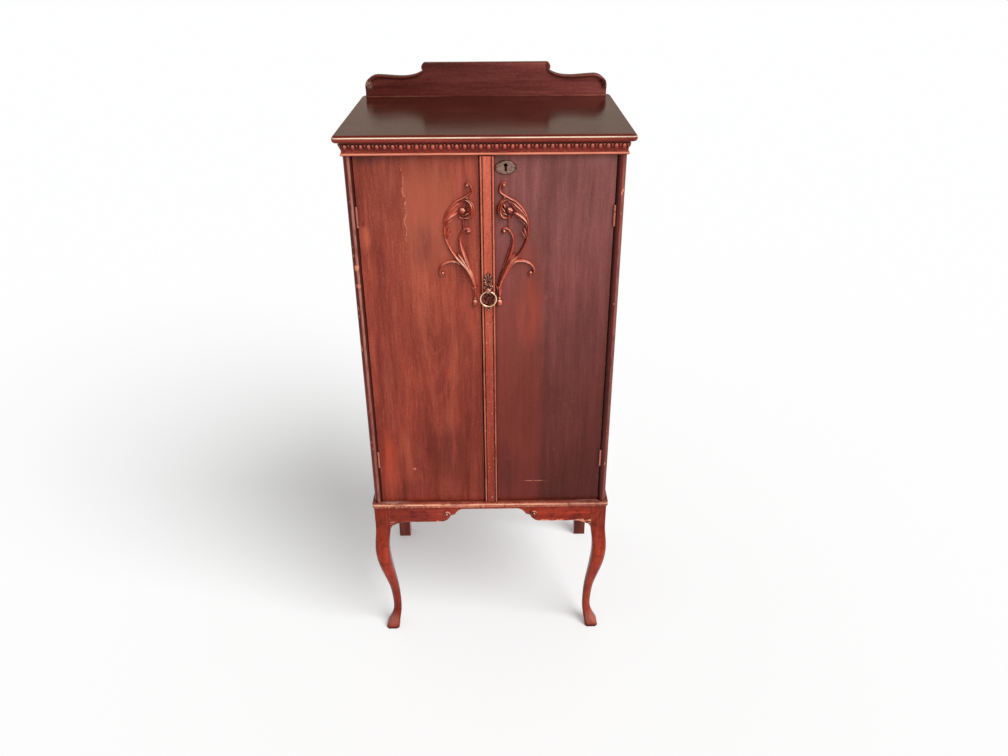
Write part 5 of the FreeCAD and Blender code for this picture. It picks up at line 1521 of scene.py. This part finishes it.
def key_reach(angle):
    """How far the keyhole, a round hole over a slot, reaches from the middle of the oval."""
    across, up = math.cos(angle), math.sin(angle)
    rise = key_level - oval_middle.z
    slot_foot = key_slot_drop - rise
    wall = key_slot_half / max(abs(across), 1e-6)
    slot_end = slot_foot / -up if up < -1e-6 else rise / max(up, 1e-6)
    reach = min(wall, slot_end)
    half_chord = key_radius ** 2 - (rise * across) ** 2
    if half_chord > 0 and up > 0:
        reach = max(reach, rise * up + math.sqrt(half_chord))
    return reach


plate_loops = []
for share, height in plate_section:
    loop = []
    for corner in range(loop_corners):
        angle = 2 * math.pi * (corner + 0.5) / loop_corners
        reach = key_reach(angle) * (1 - share) + oval_reach(angle) * share
        loop.append(Vector((oval_middle.x + reach * math.cos(angle), oval_high.y - height * mm,
                            oval_middle.z + reach * math.sin(angle))))
    plate_loops.append(loop)
oval_shells = Shells()
oval_shells.skin(plate_loops, looped=True)


def oval_face(out, up, height):
    return Vector((oval_middle.x + out, oval_high.y - height, oval_middle.z + up))


rim_shells = Shells()
rim_shells.lathe(oval_face, (0, 0), rim_section, loop_corners, oval_half, looped=True)
for hand in (-1, 1):
    rim_shells.ball(oval_face, (hand * (oval_half[0] - pin_inset), 0), 1.3 * mm, 1.2 * mm, 14)
# the rolled rim takes the darker brass, which also stands for the thin shade round the plate's edge
hang(rim_shells.mesh("keyhole_rim"), "keyhole_rim", dish_finish, "door_right", "aged_brass")
hang(oval_shells.mesh("keyhole_plate"), "keyhole_plate", escutcheon_finish, "door_right", "aged_brass",
     "escutcheon", "escutcheon_pins")
print("keyhole plate", round(2 * oval_half[0] / mm, 1), "by", round(2 * oval_half[1] / mm, 1), "mm")

# %% [markdown]
# ## Nails and screw slots
# The thin back is nailed into its rebate all round, and every hinge, lock and bolt screw has a slotted
# head. Nails follow a rectangle, so a tree resamples that line and sets a domed head at each point. The
# slots sit wherever the model has a screw, so their points are read from the screws themselves: the middle
# of each one's open end.

# %% Back panel nails
nail_sizes = {"Width": "Float", "Height": "Float", "Middle": "Vector", "Count": "Int",
              "Head Radius": "Float", "Head Height": "Float"}
nail_tree, nail_ids, nail_in = size_tree("back_nails", nail_sizes)
nail_path = add_node(nail_tree, "GeometryNodeCurvePrimitiveQuadrilateral", {
    "Width": nail_in["Width"], "Height": nail_in["Height"]}).outputs[0]
nail_path = transform(nail_tree, nail_path, nail_in["Middle"], (math.radians(90), 0, 0))
nail_points = add_node(nail_tree, "GeometryNodeResampleCurve", {
    "Curve": nail_path, "Count": nail_in["Count"]}).outputs[0]
nail_ball = add_node(nail_tree, "GeometryNodeMeshUVSphere", {
    "Segments": 10, "Rings": 6, "Radius": 1.0}).outputs[0]
nail_head = transform(nail_tree, nail_ball, scale=combine(
    nail_tree, nail_in["Head Radius"], nail_in["Head Height"], nail_in["Head Radius"]))
nail_row = add_node(nail_tree, "GeometryNodeInstanceOnPoints", {
    "Points": nail_points, "Instance": nail_head}).outputs[0]
close_tree(nail_tree, nail_row, steel_finish)

back_low, back_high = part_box("back_panel")
back_middle = (back_low + back_high) / 2
nail_inset = 5 * mm
nail_values = {"Width": back_high.x - back_low.x - 2 * nail_inset,
               "Height": back_high.z - back_low.z - 2 * nail_inset,
               "Middle": (back_middle.x, back_high.y, back_middle.z), "Count": 32, "Head Radius": 2.2 * mm,
               "Head Height": 0.7 * mm}
hang(grow(nail_tree, nail_ids, nail_values), "back_nails", steel_finish, "case", "steel")
print("nails", nail_values["Count"], "in a back", round(nail_values["Width"], 3), "m wide between them")

# %% Screw heads
def screw_heads(node):
    """The middle of the wide flat end of every screw in a node, and the way that end faces."""
    shape = bmesh.new()
    shape.from_mesh(frame["nodes"][node].data)
    bmesh.ops.remove_doubles(shape, verts=shape.verts, dist=merge_distance)
    unseen = set(shape.verts)
    heads = []
    while unseen:
        queue = [unseen.pop()]
        screw = []
        while queue:
            vert = queue.pop()
            screw.append(vert.co.copy())
            for edge in vert.link_edges:
                other = edge.other_vert(vert)
                if other in unseen:
                    unseen.remove(other)
                    queue.append(other)
        spans = [max(p[axis] for p in screw) - min(p[axis] for p in screw) for axis in range(3)]
        along = spans.index(max(spans))
        ends = []
        for sign in (-1, 1):
            far = max(sign * p[along] for p in screw)
            rim = [p for p in screw if sign * p[along] > far - merge_distance]
            middle = sum(rim, Vector()) / len(rim)
            ends.append((max((p - middle).length for p in rim), middle, sign))
        middle, sign = max(ends, key=lambda end: end[0])[1:]
        aim = Vector((0, 0, 0))
        aim[along] = sign
        heads.append((middle, aim))
    shape.free()
    return heads


slotted = {"case": ["hinge_screws_case"], "door_left": ["hinge_screws_left", "left_bolt_screws"],
           "door_right": ["hinge_screws_right", "lock_screws"]}
heads_of = {body: [head for node in nodes for head in screw_heads(node)] for body, nodes in slotted.items()}
print("screws", {body: len(heads) for body, heads in heads_of.items()})

# %% Screw slots
slot_sizes = {"Screws": "Geometry", "Length": "Float", "Width": "Float", "Depth": "Float"}
slot_tree, slot_ids, slot_in = size_tree("screw_slots", slot_sizes)
# each slot is a thin dark bar laid over the head, painted shade standing for a cut slot
slot_shade_bar = add_node(slot_tree, "GeometryNodeMeshCube", {
    "Size": combine(slot_tree, slot_in["Length"], slot_in["Width"], slot_in["Depth"])}).outputs[0]
head_aim = add_node(slot_tree, "GeometryNodeInputNamedAttribute", {"Name": "aim"},
                    data_type="FLOAT_VECTOR").outputs[0]
slot_turn = add_node(slot_tree, "FunctionNodeAlignRotationToVector", {"Vector": head_aim},
                     axis="Z").outputs[0]
slot_row = add_node(slot_tree, "GeometryNodeInstanceOnPoints", {
    "Points": slot_in["Screws"], "Instance": slot_shade_bar, "Rotation": slot_turn}).outputs[0]
close_tree(slot_tree, slot_row, lock_finish)
slot_values = {"Length": 3.0 * mm, "Width": 0.6 * mm, "Depth": 0.16 * mm}
for body, heads in heads_of.items():
    points = bpy.data.meshes.new("screw_points")
    points.from_pydata([middle for middle, aim in heads], [], [])
    aims = points.attributes.new("aim", "FLOAT_VECTOR", "POINT")
    for index, (middle, aim) in enumerate(heads):
        aims.data[index].vector = aim
    slot_mesh = grow(slot_tree, slot_ids, slot_values, points)
    hang(slot_mesh, "screw_slots_" + body, lock_finish, body, "steel")
print("slots cut in", len(heads_of), "groups of screws")
